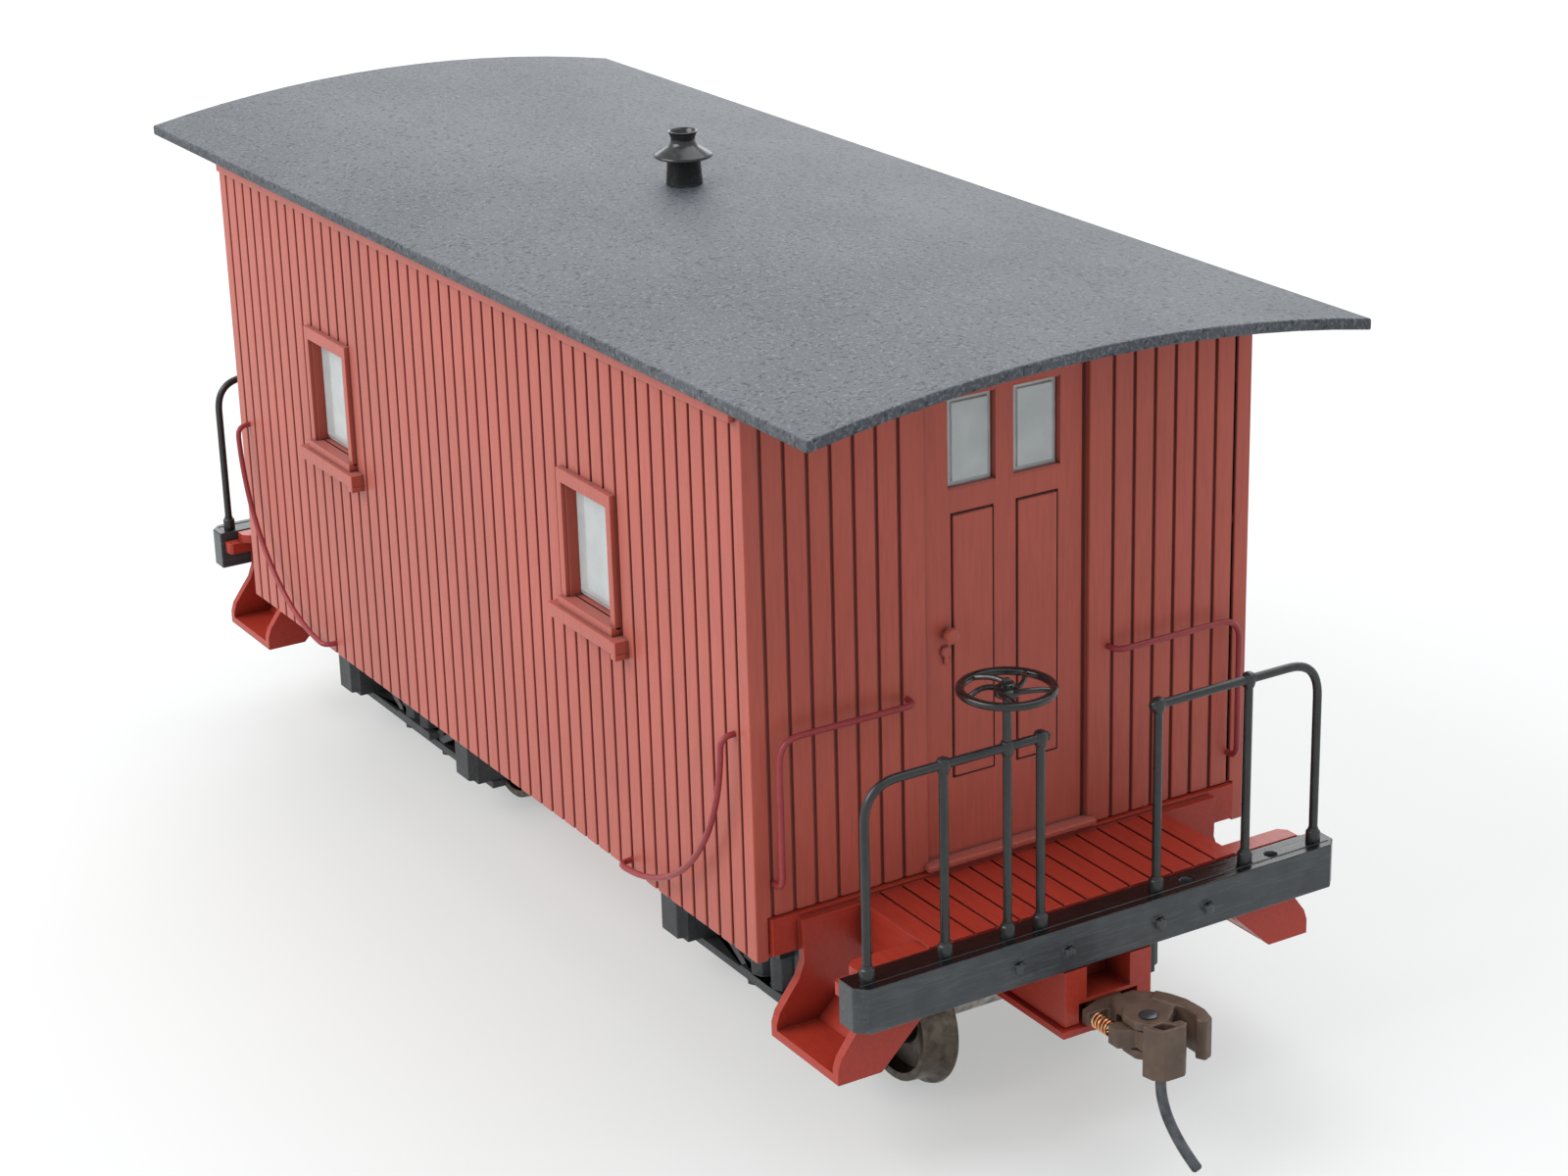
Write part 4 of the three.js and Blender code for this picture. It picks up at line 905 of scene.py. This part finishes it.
def wheelsets(end):
    for place_name in ("outer", "inner"):
        low, high = box_mm(f"axle_{place_name}_front")
        centre = (low + high) / 2
        half = (high[1] - low[1]) / 2
        point = ((0, -half), (0.3, -half + 0.1), (0.55, -half + 0.4), (0.55, -11.1),
                 (0.98, -10.75), (1.0, -10.6))
        outline = [*point, *((r, -h) for r, h in reversed(point))]
        bm = bmesh.new()
        turned(bm, outline, centre, axis="Y", steps=28)
        piece(at_end(bm, end), AXLE_STEEL, "axle_steel", f"axle_{place_name}_{end}")

        back = box_mm(f"wheel_{place_name}_left_front")[0][1]
        flange = centre[2]
        tread = flange - FLANGE_HIGH
        outline = ((0.0, 0.05), (1.0, 0), (1.9, 0), (2.1, 0.25), (4.0, 0.25), (4.25, 0),
                   (flange - 0.3, 0), (flange - 0.08, 0.1), (flange, 0.32), (flange - 0.1, 0.6),
                   (tread + 0.12, 0.9), (tread + 0.02, 1.05), (tread - 0.14, 2.7),
                   (tread - 0.24, 2.8), (4.3, 2.8), (4.15, 2.7), (3.95, 1.55), (2.3, 1.4),
                   (2.0, 1.55), (1.85, 2.7), (1.75, 2.8), (1.0, 2.8), (0.0, 2.75))
        for side in ("left", "right"):
            bm = bmesh.new()
            turned(bm, outline, (centre[0], back, centre[2]), axis="Y", steps=72)
            piece(at_end(bm, end, side == "right"), WHEEL_METAL, "wheel_metal",
                  f"wheel_{place_name}_{side}_{end}")


def coupler_spring(end):
    low, high = box_mm("knuckle_spring_front")
    coil = (high[1] - low[1]) / 2 - SPRING_WIRE
    start = low[0] + SPRING_WIRE
    length = high[0] - low[0] - 2 * SPRING_WIRE
    y, z = (low[1] + high[1]) / 2, (low[2] + high[2]) / 2
    path = []
    for i in range(SPRING_STEPS + 1):
        t = i / SPRING_STEPS
        a = FULL_TURN * SPRING_TURNS * t
        path.append(Vector((start + length * t, y + coil * math.cos(a), z + coil * math.sin(a))))
    bm = bmesh.new()
    swept(bm, path, SPRING_WIRE, 8)
    first, last = (ENDS[end] @ Vector((x, y, z)) for x in (low[0], high[0]))
    piece(at_end(bm, end), COPPER, "copper", f"knuckle_spring_{end}",
          stretch=(f"knuckle_{end}", first, last))


def trip_pin(end):
    low, high = box_mm("trip_pin_front")
    top = Vector((low[0] + PIN_R, low[1] + PIN_R, high[2]))
    knee = Vector((top[0], top[1], low[2] + PIN_KNEE * (high[2] - low[2])))
    tip = Vector((high[0] - 0.2, high[1] - PIN_R, low[2] + PIN_R * 0.95))
    path = [top, top.lerp(knee, 0.3)]
    for k in range(1, PIN_STEPS + 1):
        t = k / PIN_STEPS
        path.append(path[1].lerp(knee, t).lerp(knee.lerp(tip, t), t))
    bm = bmesh.new()
    swept(bm, path, PIN_R, 20)
    piece(at_end(bm, end), PIN_BLACK, "pin_black", f"trip_pin_{end}")


def rivet(end):
    low, high = box_mm("knuckle_rivet_front")
    x, y, _ = middle_mm("knuckle_rivet_front")
    tall = high[2] - low[2]
    outline = ((0, 0), (0.38, 0), (0.44, 0.06), (0.44, tall - 0.21), (0.7, tall - 0.21),
               (0.72, tall - 0.12), (0.6, tall - 0.04), (0.3, tall), (0, tall))
    bm = bmesh.new()
    turned(bm, outline, (x, y, low[2]), steps=32)
    piece(at_end(bm, end), PIN_BLACK, "pin_black", f"knuckle_rivet_{end}")


smokejack()
for end in ENDS:
    grab_irons(end)
    for side in ("left", "right"):
        railing(end, side)
    brake_wheel(end)
    wheelsets(end)
    coupler_spring(end)
    trip_pin(end)
    rivet(end)


# ---------- floor, light and camera ----------
def studio_floor():
    bm = bmesh.new()
    bmesh.ops.create_grid(bm, x_segments=1, y_segments=1, size=1.6)
    floor = new_object("studio_floor", bm)
    g = Graph("floor_white")
    g.base(0.75, specular=0.2)
    g.shader.inputs["Emission Color"].default_value = (0.98, 1.0, 0.99, 1)
    g.shader.inputs["Emission Strength"].default_value = 0.42
    clouds = g.noise((0.02, 0.02, 0.02))
    g.link(g.mix(clouds, (0.33, 0.335, 0.333), (0.35, 0.355, 0.353)), "Base Color")
    floor.data.materials.append(g.material)


def studio_world():
    world = bpy.data.worlds.new("white_room")
    bpy.context.scene.world = world
    world.use_nodes = True
    background = world.node_tree.nodes["Background"].inputs
    background["Color"].default_value = (0.93, 0.97, 1.0, 1)
    background["Strength"].default_value = 0.95


def panel(name, at, aim, size, power, colour=(1, 1, 1)):
    """A rectangular light at one point, in metres, that faces another."""
    light = bpy.data.lights.new(name, "AREA")
    light.shape = "RECTANGLE"
    light.size, light.size_y = size
    light.energy = power
    light.color = colour
    obj = bpy.data.objects.new(name, light)
    bpy.context.scene.collection.objects.link(obj)
    obj.location = at
    obj.rotation_euler = (Vector(aim) - Vector(at)).to_track_quat("-Z", "Y").to_euler()


def camera():
    """The viewpoint: azimuth, elevation and roll of the view, and the place it is seen from."""
    azimuth, elevation, roll = (math.radians(a) for a in (59.124, 20.813, -1.624))
    eye = Vector((240.164, -134.959, 129.919)) * MM
    back = Vector((math.sin(azimuth) * math.cos(elevation),
                   -math.cos(azimuth) * math.cos(elevation), math.sin(elevation)))
    level = Vector((math.cos(azimuth), math.sin(azimuth), 0))
    upright = back.cross(level)
    right = level * math.cos(roll) + upright * math.sin(roll)
    up = upright * math.cos(roll) - level * math.sin(roll)
    data = bpy.data.cameras.new("camera")
    data.lens = 76.64
    data.sensor_width = 36
    obj = bpy.data.objects.new("camera", data)
    bpy.context.scene.collection.objects.link(obj)
    turn = Matrix((right, up, back)).transposed().to_4x4()
    obj.matrix_world = Matrix.Translation(eye) @ turn
    bpy.context.scene.camera = obj


studio_floor()
studio_world()
panel("key", (-0.15, -0.55, 0.5), (0, 0, 0.03), (0.6, 0.4), power=4.2, colour=(1.0, 0.98, 0.95))
panel("top", (-0.1, 0.25, 0.7), (0, 0, 0.05), (0.8, 0.6), power=3.0)
panel("back", (-0.7, 0.45, 0.42), (0, 0, 0.05), (0.9, 0.5), power=3.2)
camera()
bpy.context.scene.view_settings.view_transform = "Standard"
